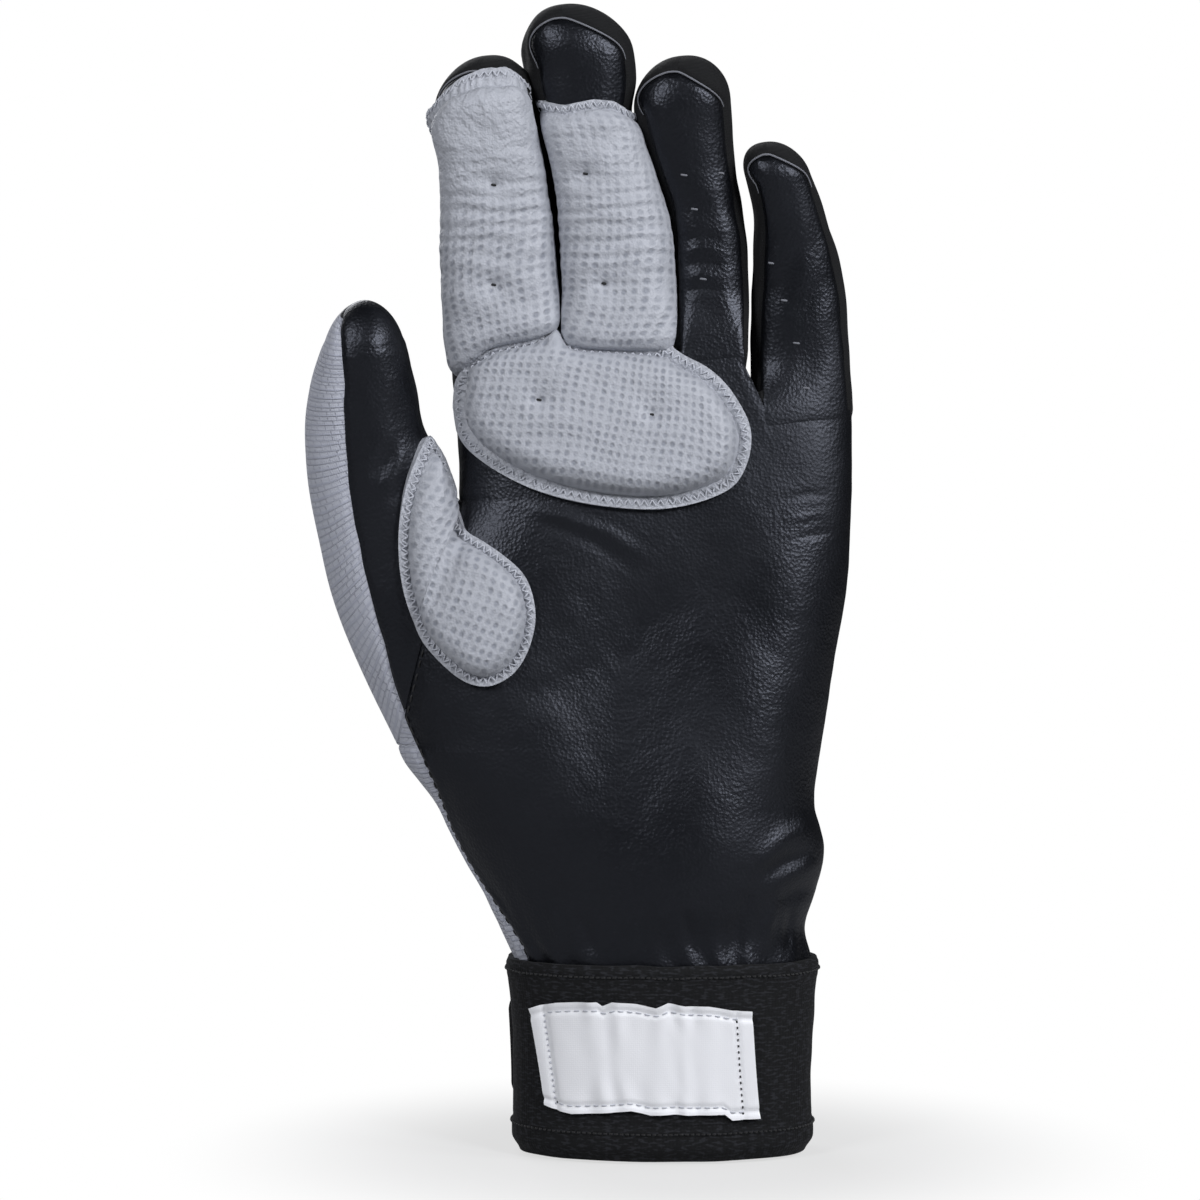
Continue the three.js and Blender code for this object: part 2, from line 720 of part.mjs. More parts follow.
function padSolid(pad, rings, topOf, bottomOf) {
  const outer = [];
  const inner = [];
  rings.forEach((ring) => {
    const outerRow = [];
    const innerRow = [];
    for (let j = 0; j <= padColumns; j += 1) {
      const turn = (j % padColumns) * ((2 * Math.PI) / padColumns);
      const [u, v] = outlinePoint(pad, ring, turn);
      const { point, normal } = pad.place(u, v);
      const fromEdge = (1 - ring) * pad.halfSpan;
      const sunk = pad.tufts.reduce((sum, tuft) => {
        const away = pad.place(tuft[0], tuft[1]).point.distanceTo(point);
        return sum + tuftDepth * Math.exp(-((away / tuftRadius) ** 2));
      }, 0);
      const height = Math.max(padHeight(fromEdge, pad.rise) - (fromEdge > padFlange ? sunk : 0), 0);
      outerRow.push(point.clone().addScaledVector(normal, topOf(height)));
      innerRow.push(point.clone().addScaledVector(normal, bottomOf(height)));
    }
    outer.push(outerRow);
    inner.push(innerRow);
  });
  return gridSolid(outer, inner, 0);
}

function buildPad(name, pad) {
  const coverTop = (height) => seamGap + padCoverThickness + height;
  const coverBottom = (height) => seamGap + height;
  add(`${name}_cover`, padSolid(pad, padRings, coverTop, coverBottom), greyLeather);
  const foamRings = padRings.filter((ring) => ring < 1 - foamSetback / pad.halfSpan);
  add(`${name}_foam`, padSolid(pad, foamRings, (height) => height, () => seamGap), paleFoam);
}

// The palm pad, leaning with the knuckles
const palmPadLean = radians(palmPadLeanAngle);
const palmPadCentre = {
  x: (folds[0].left + folds[2].right + padShoulder) / 2,
  z: foldTop - palmPadDrop,
};
const fineWidth = palmWidth / 400;

function frontNormal(x, z) {
  const alongX = handFront(x + fineWidth, z).sub(handFront(x - fineWidth, z));
  const alongZ = handFront(x, z + fineWidth).sub(handFront(x, z - fineWidth));
  return alongX.cross(alongZ).normalize();
}

buildPad('palm_pad', {
  power: 2.4,
  rise: palmPadRise,
  halfSpan: palmPadHeight / 2,
  tufts: [[-0.46, 0.36], [0.32, 0.2]],
  place(u, v) {
    const across = (u * palmPadWidth) / 2;
    const raised = (v * palmPadHeight) / 2;
    const x = palmPadCentre.x + across * Math.cos(palmPadLean) + raised * Math.sin(palmPadLean);
    const z = palmPadCentre.z - across * Math.sin(palmPadLean) + raised * Math.cos(palmPadLean);
    return { point: handFront(x, z), normal: frontNormal(x, z) };
  },
});

// The thumb pad's lobe on the palm lies beside the thumb's fold
const palmLobeShare = 0.17;
buildPad('thumb_pad_palm', {
  power: 2.2,
  rise: thumbPadRise,
  halfSpan: thumbPadWidth / 2,
  tufts: [],
  place(u, v) {
    const out = -padFoldSetback - (thumbPadWidth / 2) * (1 - u);
    const along = thumbFoldHalf * palmLobeShare + (v * thumbPadHeight) / 2;
    const spot = thumbFoldMiddle.clone();
    spot.addScaledVector(thumbOut, out).addScaledVector(thumbFoldAlong, along);
    return { point: handFront(spot.x, spot.z), normal: frontNormal(spot.x, spot.z) };
  },
});

// The place on a digit's front that lies straight in front of a spot of the middle plane,
// found by steps along the digit and around it
const searchRounds = 12;
const searchShares = { start: 0.25, least: fineShare, most: 0.9 };
const searchTurns = { start: 60, least: 2, most: 150 };

function underSpot(surface, spot) {
  let s = searchShares.start;
  let degrees = searchTurns.start;
  for (let round = 0; round < searchRounds; round += 1) {
    const here = surface(s, degrees);
    const alongS = surface(s + fineShare, degrees).sub(here).divideScalar(fineShare);
    const alongTurn = surface(s, degrees + fineTurn).sub(here).divideScalar(fineTurn);
    const missX = spot.x - here.x;
    const missZ = spot.z - here.z;
    const area = alongS.x * alongTurn.z - alongS.z * alongTurn.x;
    s += (missX * alongTurn.z - missZ * alongTurn.x) / area;
    degrees += (alongS.x * missZ - alongS.z * missX) / area;
    s = THREE.MathUtils.clamp(s, searchShares.least, searchShares.most);
    degrees = THREE.MathUtils.clamp(degrees, searchTurns.least, searchTurns.most);
  }
  return { point: surface(s, degrees), normal: outward(surface, s, degrees, fineShare / 2, fineDegrees) };
}

// The pads on the thumb and the fingers lie on the digit's own front
function digitPad(name, digit, shape) {
  const surface = digitSurface(digit);
  buildPad(name, {
    power: shape.power,
    rise: shape.rise,
    halfSpan: shape.halfSpan,
    tufts: shape.tufts,
    place(u, v) {
      const s = mix(shape.from, shape.to, (v + 1) / 2);
      const degrees = shape.turn - u * shape.halfTurn;
      return { point: surface(s, degrees), normal: outward(surface, s, degrees, fineShare, fineDegrees) };
    },
  });
}

digitPad('index_pad', indexFinger, {
  power: 3.6,
  rise: fingerPadRise,
  halfSpan: indexWidth / 2,
  tufts: [[0.05, 0.28], [0.05, -0.56]],
  from: padFoldSetback / indexLength,
  to: 0.93,
  turn: frontTurn,
  halfTurn: 54,
});
digitPad('middle_pad', middleFinger, {
  power: 3.6,
  rise: fingerPadRise,
  halfSpan: middleWidth / 2,
  tufts: [[-0.25, 0.35], [-0.15, -0.5]],
  from: padFoldSetback / middleLength,
  to: 0.71,
  turn: frontTurn,
  halfTurn: 56,
});

// The thumb pad's lobe on the thumb runs from the fold up the thumb's inner side
const thumbSurface = digitSurface(thumb);
const thumbLobeLean = radians(thumbLobeLeanAngle);
const thumbLobeAlong = thumbFoldAlong.clone().multiplyScalar(Math.cos(thumbLobeLean))
  .addScaledVector(thumbOut, Math.sin(thumbLobeLean));
const thumbLobeAcross = thumbFoldAlong.clone().multiplyScalar(Math.sin(thumbLobeLean))
  .addScaledVector(thumbOut, -Math.cos(thumbLobeLean));
const thumbLobeShares = { out: 0.088, along: 0.222, rise: 0.8, span: 0.7 };
const thumbLobeCentre = thumbFoldMiddle
  .clone()
  .addScaledVector(thumbOut, thumbLobeShares.out * thumbLength)
  .addScaledVector(thumbFoldAlong, thumbLobeShares.along * thumbLength);
buildPad('thumb_pad_thumb', {
  power: 2.3,
  rise: thumbPadRise * thumbLobeShares.rise,
  halfSpan: thumbLobeWidth * thumbLobeShares.span,
  tufts: [],
  place(u, v) {
    const spot = thumbLobeCentre
      .clone()
      .addScaledVector(thumbLobeAcross, (u * thumbLobeWidth) / 2)
      .addScaledVector(thumbLobeAlong, (v * thumbLobeHeight) / 2);
    return underSpot(thumbSurface, spot);
  },
});

// Webs at the finger crotches, one plate between each two columns
const webRows = 4;

function buildWeb(name, radialFold, ulnarFold) {
  const x = (radialFold.right + ulnarFold.left) / 2;
  const high = radialFold.z > ulnarFold.z ? radialFold : ulnarFold;
  const low = radialFold.z > ulnarFold.z ? ulnarFold : radialFold;
  const top = foldHeightAt(high, x) - foldGap;
  const bottom = foldHeightAt(low, x) - webDepth;
  const shift = high === radialFold ? -1 : 1;
  const nearX = x + shift * webSetback;
  const farX = nearX + shift * webThickness;
  const outer = [];
  const inner = [];
  steps(webRows).forEach((t) => {
    const z = mix(bottom, top, t);
    const reach = (place) => -handFront(place, z).y - leatherThickness - 2 * seamGap;
    const edge = Math.min(reach(nearX), reach(farX));
    outer.push([new THREE.Vector3(nearX, -edge, z), new THREE.Vector3(nearX, edge, z)]);
    inner.push([new THREE.Vector3(farX, -edge, z), new THREE.Vector3(farX, edge, z)]);
  });
  add(name, gridSolid(outer, inner), blackStretch);
}

buildWeb('index_middle_web', folds[0], folds[1]);
buildWeb('middle_ring_web', folds[1], folds[2]);
buildWeb('ring_little_web', folds[2], folds[3]);

// Cuff: an elastic band, open at the back
const bandColumns = 40;
const labelColumns = 12;
const patchColumns = 10;
const anchorColumns = 3;
const tabColumns = 18;
const tabRows = 4;
const patchRows = 3;

// A sheet around the cuff. Its thickness is level, so its upper and lower edges are flat.
function cuffSheet(levels, from, to, columns, low, high) {
  const outer = [];
  const inner = [];
  levels.forEach((z) => {
    const outerRow = [];
    const innerRow = [];
    steps(columns).forEach((t) => {
      const degrees = mix(from, to, t);
      const point = cuffSurface(z, degrees);
      const normal = outward(cuffSurface, z, degrees, fineHeight, fineTurn).setZ(0).normalize();
      outerRow.push(point.clone().addScaledVector(normal, high(t)));
      innerRow.push(point.clone().addScaledVector(normal, low(t)));
    });
    outer.push(outerRow);
    inner.push(innerRow);
  });
  return gridSolid(outer, inner);
}

// The turn reached from another one after a length around the cuff, towards the thumb if it is negative
function turnAfter(from, length) {
  const step = Math.sign(length) * fineTurn;
  let degrees = from;
  let gone = 0;
  while (gone < Math.abs(length)) {
    gone += cuffSurface(cuffHeight / 2, degrees).distanceTo(cuffSurface(cuffHeight / 2, degrees + step));
    degrees += step;
  }
  return degrees;
}

const cuffMiddle = cuffSection(cuffHeight / 2);
const slitFrom = turnAt(cuffMiddle, cuffOffset - cuffSlit / 2, 1, true);
const slitTo = turnAt(cuffMiddle, cuffOffset + cuffSlit / 2, 1, true);
const cuffLevels = cuffLevelShares.map((share) => share * cuffHeight);
add(
  'cuff_band',
  cuffSheet(cuffLevels, slitTo - fullTurn, slitFrom, bandColumns, () => -cuffThickness, () => 0),
  blackElastic,
);

// The blank label on the front of the cuff
const labelFrom = turnAt(cuffMiddle, cuffOffset + labelOffset + labelWidth / 2, 1);
const labelTo = turnAt(cuffMiddle, cuffOffset + labelOffset - labelWidth / 2, 1);
const labelLevels = steps(patchRows).map((t) => labelRise + t * labelHeight);
const labelTop = seamGap + labelThickness;
add(
  'label',
  cuffSheet(labelLevels, labelFrom, labelTo, labelColumns, () => seamGap, () => labelTop),
  whiteWoven,
);

// The tab that closes the slit, its anchor, and the two patches that hold it
const patchMarginShare = 0.12;
const tabRiseShare = 0.22;
const tabLevels = steps(tabRows).map((t) => tabRise + t * tabHeight);
const patchRise = tabRise + patchMarginShare * tabHeight;
const patchHeight = (1 - 2 * patchMarginShare) * tabHeight;
const patchLevels = steps(patchRows).map((t) => patchRise + t * patchHeight);
const tabRoot = turnAfter(slitTo, anchorLength);
const tabEnd = turnAfter(tabRoot, -tabLength);
const anchorStart = turnAfter(tabRoot, foldGap);
const anchorEnd = turnAfter(anchorStart, anchorLength);
const loopStart = turnAfter(slitFrom, -hookSetback);
const loopEnd = turnAfter(loopStart, -loopLength);
const hookEnd = turnAfter(tabEnd, hookSetback);
const hookStart = turnAfter(hookEnd, hookLength);
const loopTop = seamGap + patchThickness;
const hookTop = loopTop + seamGap + patchThickness;
const anchorTop = seamGap + tabThickness;

function tabLift(t) {
  return mix(seamGap, hookTop + seamGap, THREE.MathUtils.smoothstep(t, 0, tabRiseShare));
}

add(
  'loop_patch',
  cuffSheet(patchLevels, loopEnd, loopStart, patchColumns, () => seamGap, () => loopTop),
  blackHook,
);
add(
  'tab_anchor',
  cuffSheet(tabLevels, anchorStart, anchorEnd, anchorColumns, () => seamGap, () => anchorTop),
  blackElastic,
);
add(
  'cuff_tab',
  cuffSheet(tabLevels, tabRoot, tabEnd, tabColumns, tabLift, (t) => tabLift(t) + tabThickness),
  blackElastic,
);
add(
  'hook_patch',
  cuffSheet(patchLevels, hookEnd, hookStart, patchColumns, () => loopTop + seamGap, () => hookTop),
  blackHook,
);

export default glove;
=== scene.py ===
"""Looks of the protective inner glove: leather, foam pads, knitted mesh and elastic.

The glove stands on its cuff with the fingers up and the palm towards -Y. Sizes in the classes
are millimetres. Meshes are made in metres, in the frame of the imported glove.
"""

import logging
import math
from dataclasses import dataclass, field
from enum import Enum
from typing import Any, Callable, Optional, Sequence

import bmesh
import bpy
import numpy as np
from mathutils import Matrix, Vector


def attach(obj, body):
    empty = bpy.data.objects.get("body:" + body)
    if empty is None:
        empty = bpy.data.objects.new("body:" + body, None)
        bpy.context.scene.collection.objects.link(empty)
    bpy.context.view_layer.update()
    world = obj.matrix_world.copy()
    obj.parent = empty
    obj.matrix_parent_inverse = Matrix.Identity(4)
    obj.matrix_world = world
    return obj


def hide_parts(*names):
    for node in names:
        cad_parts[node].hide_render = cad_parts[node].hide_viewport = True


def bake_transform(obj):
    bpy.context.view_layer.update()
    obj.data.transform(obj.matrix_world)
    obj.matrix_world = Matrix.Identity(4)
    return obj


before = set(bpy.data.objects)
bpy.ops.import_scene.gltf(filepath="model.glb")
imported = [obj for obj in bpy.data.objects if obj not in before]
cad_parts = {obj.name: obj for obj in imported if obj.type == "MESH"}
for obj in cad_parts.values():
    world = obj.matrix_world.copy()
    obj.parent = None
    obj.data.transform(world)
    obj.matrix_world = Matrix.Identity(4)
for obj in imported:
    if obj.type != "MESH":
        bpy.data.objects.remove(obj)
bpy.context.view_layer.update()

log = logging.getLogger("glove")
MM = 0.001
UP = np.array([0.0, 0.0, 1.0])
PALMWARD = np.array([0.0, -1.0, 0.0])
SHARP_ANGLE = 50.0
Array = np.ndarray
Path = Sequence[tuple[float, float]]
Surface = Callable[[Array, Array], Array]


# Curves and measures


def curve(places: Sequence[float], values: Any, at: Any) -> Array:
    """Reads a smooth curve through a table.

    Args:
        places: rising places of the table.
        values: one value or one vector for each place.
        at: the places to read.

    Returns:
        The values there, held constant past both ends.
    """
    places = np.asarray(places, float)
    values = np.asarray(values, float)
    at = np.clip(np.asarray(at, float), places[0], places[-1])
    k = np.clip(np.searchsorted(places, at, side="right") - 1, 0, len(places) - 2)
    index = np.arange(len(places))
    low = np.maximum(index - 1, 0)
    high = np.minimum(index + 1, len(places) - 1)
    wide = (slice(None),) + (None,) * (values.ndim - 1)
    slope = (values[high] - values[low]) / (places[high] - places[low])[wide]
    span = places[k + 1] - places[k]
    t = (at - places[k]) / span
    if values.ndim > 1:
        t, span = t[..., None], span[..., None]
    t2, t3 = t * t, t * t * t
    start = (2 * t3 - 3 * t2 + 1) * values[k] + (t3 - 2 * t2 + t) * span * slope[k]
    end = (3 * t2 - 2 * t3) * values[k + 1] + (t3 - t2) * span * slope[k + 1]
    return start + end


def smooth(low: float, high: float, value: Any) -> Array:
    """Goes smoothly from 0 at low to 1 at high."""
    t = np.clip((np.asarray(value, float) - low) / (high - low), 0, 1)
    return t * t * (3 - 2 * t)


def mix(a: Any, b: Any, t: Any) -> Any:
    """Goes straight from a to b as t goes from 0 to 1."""
    return a + (b - a) * t


def bell(distance: Any, width: float) -> Array:
    """A soft bump that is 1 high where the distance is 0."""
    return np.exp(-((distance / width) ** 2))


def ripple(u: Array, v: Array, wavelength: float, seed: int) -> Array:
    """Smooth unevenness of soft material, made of a few crossing waves.

    Args:
        u: places across.
        v: places along.
        wavelength: the middle wavelength, in the unit of the places.
        seed: which pattern.

    Returns:
        Heights of about -1 to 1.
    """
    rng = np.random.default_rng(seed)
    total = np.zeros(np.broadcast(u, v).shape)
    waves, height = 7, 1.6
    for _ in range(waves):
        turn = rng.uniform(0, math.tau)
        reach = math.tau / (wavelength * rng.uniform(0.7, 1.5))
        total += np.cos(reach * (u * math.cos(turn) + v * math.sin(turn)) + rng.uniform(0, math.tau))
    return total / waves * height


def gone_along(points: Array, axis: int = 0) -> Array:
    """Length gone to each place of a path, or of a grid along one of its axes."""
    steps = np.linalg.norm(np.diff(points, axis=axis), axis=-1)
    pad = [(0, 0)] * steps.ndim
    pad[axis] = (1, 0)
    return np.cumsum(np.pad(steps, pad), axis=axis)


def evened(values: Array, width: int) -> Array:
    """Evens values out over an odd number of neighbours."""
    return np.convolve(np.pad(values, width // 2, mode="edge"), np.ones(width) / width, "valid")


def box_outline(degrees: Array, power: Any) -> tuple[Array, Array, Array]:
    """The cosine and sine of turns, and what divides them on the outline of a rounded box."""
    angle = np.radians(degrees)
    c, s = np.cos(angle), np.sin(angle)
    return c, s, (np.abs(c) ** power + np.abs(s) ** power) ** (1 / power)


def path_distance(x: Array, z: Array, path: Path, closed: bool = False) -> tuple[Array, Array]:
    """Distance from places to a path on the flat.

    Args:
        x: places across.
        z: places up.
        path: corners of the path.
        closed: whether the path comes back to its start.

    Returns:
        The distances, and how far along the path the nearest place is, from 0 to 1.
    """
    points = np.asarray(path, float)
    ends = np.roll(points, -1, axis=0) if closed else points[1:]
    starts = points if closed else points[:-1]
    lengths = np.hypot(*(ends - starts).T)
    gone = np.concatenate([[0], np.cumsum(lengths)])
    best = np.full(np.shape(x), 1e9)
    share = np.zeros(np.shape(x))
    for k, (a, b) in enumerate(zip(starts, ends)):
        step = b - a
        t = np.clip(((x - a[0]) * step[0] + (z - a[1]) * step[1]) / max(step @ step, 1e-9), 0, 1)
        away = np.hypot(x - a[0] - t * step[0], z - a[1] - t * step[1])
        nearer = away < best
        best = np.where(nearer, away, best)
        share = np.where(nearer, (gone[k] + t * lengths[k]) / gone[-1], share)
    return best, share


def round_path(path: Path, count: int, closed: bool = False, softness: int = 2) -> Array:
    """Runs a rounded path of evenly spaced places along corners.

    Args:
        path: the corners.
        count: how many places.
        closed: whether the path comes back to its start.
        softness: how often the corners are cut.

    Returns:
        The places, one a row.
    """
    points = np.asarray(path, float)
    for _ in range(softness):
        ahead = np.roll(points, -1, axis=0) if closed else points[1:]
        here = points if closed else points[:-1]
        cut = np.stack([0.75 * here + 0.25 * ahead, 0.25 * here + 0.75 * ahead], 1)
        cut = cut.reshape(-1, points.shape[1])
        points = cut if closed else np.vstack([points[:1], cut, points[-1:]])
    if closed:
        points = np.vstack([points, points[:1]])
    gone = gone_along(points)
    at = np.linspace(0, gone[-1], count, endpoint=not closed)
    return np.stack([np.interp(at, gone, points[:, k]) for k in range(points.shape[1])], 1)


def unit(vectors: Array) -> Array:
    """Makes vectors one long."""
    return vectors / np.maximum(np.linalg.norm(vectors, axis=-1, keepdims=True), 1e-9)


def surface_normals(
    surface: Surface, rows: Array, degrees: Array, step: float, turn: float, away: Array
) -> Array:
    """Directions square to a surface.

    Args:
        surface: gives places for rows and turns.
        rows: the rows of the places.
        degrees: their turns.
        step: how far to look along the rows.
        turn: how far to look around.
        away: directions that show which side is out.

    Returns:
        One direction for each place.
    """
    across = surface(rows, degrees + turn) - surface(rows, degrees - turn)
    up = surface(rows + step, degrees) - surface(rows - step, degrees)
    out = unit(np.cross(across, up))
    return np.where(np.sum(out * away, axis=-1, keepdims=True) < 0, -out, out)


# The line of sight that flat measures of the front are taken along


@dataclass(frozen=True)
class Sight:
    """Carries measures of the glove's front, seen from one place, onto its surface."""

    x: float = -12.9
    z: float = 117.4
    distance: float = 650.0

    def seen(self, points: Array) -> tuple[Array, Array]:
        """Where places of the surface seem to lie on the middle plane."""
        share = self.distance / (self.distance + points[..., 1])
        return self.x + (points[..., 0] - self.x) * share, self.z + (points[..., 2] - self.z) * share

    def place(self, x: Array, z: Array, y: Array) -> tuple[Array, Array]:
        """Where a measured spot really lies, at a depth."""
        share = (self.distance + y) / self.distance
        return self.x + (x - self.x) * share, self.z + (z - self.z) * share


SIGHT = Sight()
STRIP_SEAM: Path = (
    (-67.1, 182.5), (-69.0, 176.5), (-68.8, 172.2), (-68.4, 167.9), (-67.9, 163.6), (-68.2, 159.3),
    (-67.9, 155.0), (-67.7, 150.7), (-67.3, 146.4), (-67.1, 142.1), (-66.4, 137.8), (-65.8, 133.5),
    (-64.7, 129.2), (-64.1, 124.9), (-63.0, 120.6), (-61.9, 116.3), (-60.8, 112.0), (-59.3, 107.7),
    (-58.5, 103.4), (-57.4, 99.1), (-55.9, 94.8), (-54.4, 90.5), (-52.5, 86.2), (-50.7, 81.9),
    (-48.8, 77.6), (-46.9, 73.3), (-45.1, 69.0), (-43.0, 64.7), (-40.6, 60.4), (-38.1, 56.1),
    (-35.3, 51.8), (-32.7, 47.5), (-30.1, 43.2), (-28.8, 40.0),
)


def seam_side(points: Array) -> Array:
    """How far to the right of the seam of the thumb side's grey strip places are."""
    seam = np.array(sorted(STRIP_SEAM, key=lambda spot: spot[1]))
    x, z = SIGHT.seen(points)
    return x - np.interp(z, seam[:, 1], seam[:, 0])


def seam_turns(surface: Surface, rows: Array, first: float, last: Array) -> Array:
    """Finds the turn at which each row of a surface meets the strip's seam.

    Args:
        surface: gives places for rows and turns.
        rows: the rows' places along the form.
        first: a turn on the front.
        last: each row's turn at the outer edge.

    Returns:
        One turn for each row.
    """
    steps = 60
    turns = mix(first, np.asarray(last)[:, None], np.linspace(0, 1, steps)[None, :])
    side = seam_side(surface(rows[:, None], turns))
    found = np.array(last, float)
    for k in range(len(rows)):
        past = np.nonzero(side[k] < 0)[0]
        if len(past) and past[0] > 0:
            j = past[0]
            t = side[k, j - 1] / (side[k, j - 1] - side[k, j])
            found[k] = mix(turns[k, j - 1], turns[k, j], t)
    return found


# Colour and material nodes

Tree = bpy.types.NodeTree
Socket = bpy.types.NodeSocket
FLAT_NOISE = {"noise_dimensions": "2D"}


def linear(code: str) -> tuple[float, float, float, float]:
    """Turns an sRGB hex colour into linear light."""
    parts = [int(code[k : k + 2], 16) / 255 for k in (1, 3, 5)]
    return (*[p / 12.92 if p <= 0.04045 else ((p + 0.055) / 1.055) ** 2.4 for p in parts], 1.0)


def add_node(tree: Tree, kind: str, /, inputs: Optional[dict] = None, **settings: Any) -> bpy.types.Node:
    """Adds a node with its settings and links.

    Args:
        tree: the material's node tree.
        kind: the node's type, without the words that all types start with.
        inputs: sockets that feed its inputs, or their values, by input name or number.
        settings: its properties, or input values by name with _ for a space.

    Returns:
        The node.
    """
    node = tree.nodes.new("ShaderNode" + kind)
    for name, value in settings.items():
        if hasattr(node, name):
            setattr(node, name, value)
        else:
            node.inputs[name.replace("_", " ")].default_value = value
    for name, source in (inputs or {}).items():
        if isinstance(source, Socket):
            tree.links.new(source, node.inputs[name])
        else:
            node.inputs[name].default_value = source
    return node


def noise(tree: Tree, place: Socket, scale: float, detail: float, **settings: Any) -> Socket:
    """Adds a cloudy share from 0 to 1."""
    node = add_node(tree, "TexNoise", {"Vector": place}, Scale=scale, Detail=detail, **settings)
    return node.outputs["Fac"]


def cells(tree: Tree, place: Socket, scale: float, **settings: Any) -> Socket:
    """Adds the distance from the middles of scattered cells."""
    return add_node(tree, "TexVoronoi", {"Vector": place}, Scale=scale, **settings).outputs["Distance"]


def reckon(tree: Tree, operation: str, first: Any, second: Any, **settings: Any) -> Socket:
    """Adds a sum, product or other measure of two values."""
    return add_node(tree, "Math", {0: first, 1: second}, operation=operation, **settings).outputs[0]


def between(tree: Tree, value: Socket, low: float, high: float, **settings: Any) -> Socket:
    """Adds a value's way from low to high, as a share unless the settings say otherwise."""
    node = add_node(tree, "MapRange", {"Value": value}, From_Min=low, From_Max=high, **settings)
    return node.outputs["Result"]


def flat_place(tree: Tree) -> Socket:
    """Adds the places of a piece's flat cut, in millimetres."""
    return add_node(tree, "UVMap", uv_map="cut").outputs["UV"]


def solid_place(tree: Tree) -> Socket:
    """Adds the places of a piece in space, in metres."""
    return add_node(tree, "TexCoord").outputs["Object"]


@dataclass(frozen=True)
class Finish:
    """What all of the glove's materials share: a name, a colour and a surface."""

    name: str
    colour: str
    roughness: float
    ior: float = 1.5

    def build(self) -> bpy.types.Material:
        """Makes the material."""
        material = bpy.data.materials.new(self.name)
        material.use_nodes = True
        material.diffuse_color = linear(self.colour)
        tree = material.node_tree
        shader = tree.nodes["Principled BSDF"]
        shader.inputs["Base Color"].default_value = linear(self.colour)
        shader.inputs["Roughness"].default_value = self.roughness
        shader.inputs["IOR"].default_value = self.ior
        self.dress(tree, shader)
        return material

    def dress(self, tree: Tree, shader: bpy.types.Node) -> None:
        """Adds the pattern of the material. The plain one has none."""

    def tint(self, tree: Tree, share: Socket, low: Any, high: str) -> Socket:
        """Goes between two colours by a share from 0 to 1. The first may come from a node."""
        ends = {6: low if isinstance(low, Socket) else linear(low), 7: linear(high)}
        return add_node(tree, "Mix", {"Factor": share, **ends}, data_type="RGBA").outputs[2]

    def emboss(self, tree: Tree, shader: bpy.types.Node, heights: Sequence[tuple[Socket, float]]) -> None:
        """Stacks bumps on the shader, each a height from 0 to 1 and its depth in millimetres."""
        below = {}
        for height, depth in heights:
            bump = add_node(tree, "Bump", {"Height": height, **below}, Strength=1.0, Distance=depth * MM)
            below = {"Normal": bump.outputs[0]}
        tree.links.new(below["Normal"], shader.inputs["Normal"])


@dataclass(frozen=True)
class NappaLeather(Finish):
    """Drum-dyed sheep nappa: smooth, with a fine pebbled grain and a soft waxy shine."""

    grain: float = 0.7
    crease: float = 6.5
    patch: float = 26
    shine_colour: str = "#e8eeff"

    def dress(self, tree: Tree, shader: bpy.types.Node) -> None:
        """Adds grain, fine creases and worn, drier patches."""
        place = solid_place(tree)
        pebble = cells(
            tree, place, 1 / (self.grain * MM), feature="SMOOTH_F1", Smoothness=0.35, Randomness=0.95
        )
        fine = noise(tree, place, 1 / (self.grain * 0.45 * MM), 2.0)
        crease = noise(tree, place, 1 / (self.crease * MM), 3.0, Distortion=0.6)
        patch = noise(tree, place, 1 / (self.patch * MM), 2.0)
        dry = between(tree, patch, 0.3, 0.7, To_Min=self.roughness - 0.06, To_Max=self.roughness + 0.09)
        tree.links.new(dry, shader.inputs["Roughness"])
        shader.inputs["Specular Tint"].default_value = linear(self.shine_colour)
        self.emboss(tree, shader, [(crease, 0.14), (pebble, 0.085), (fine, 0.04)])


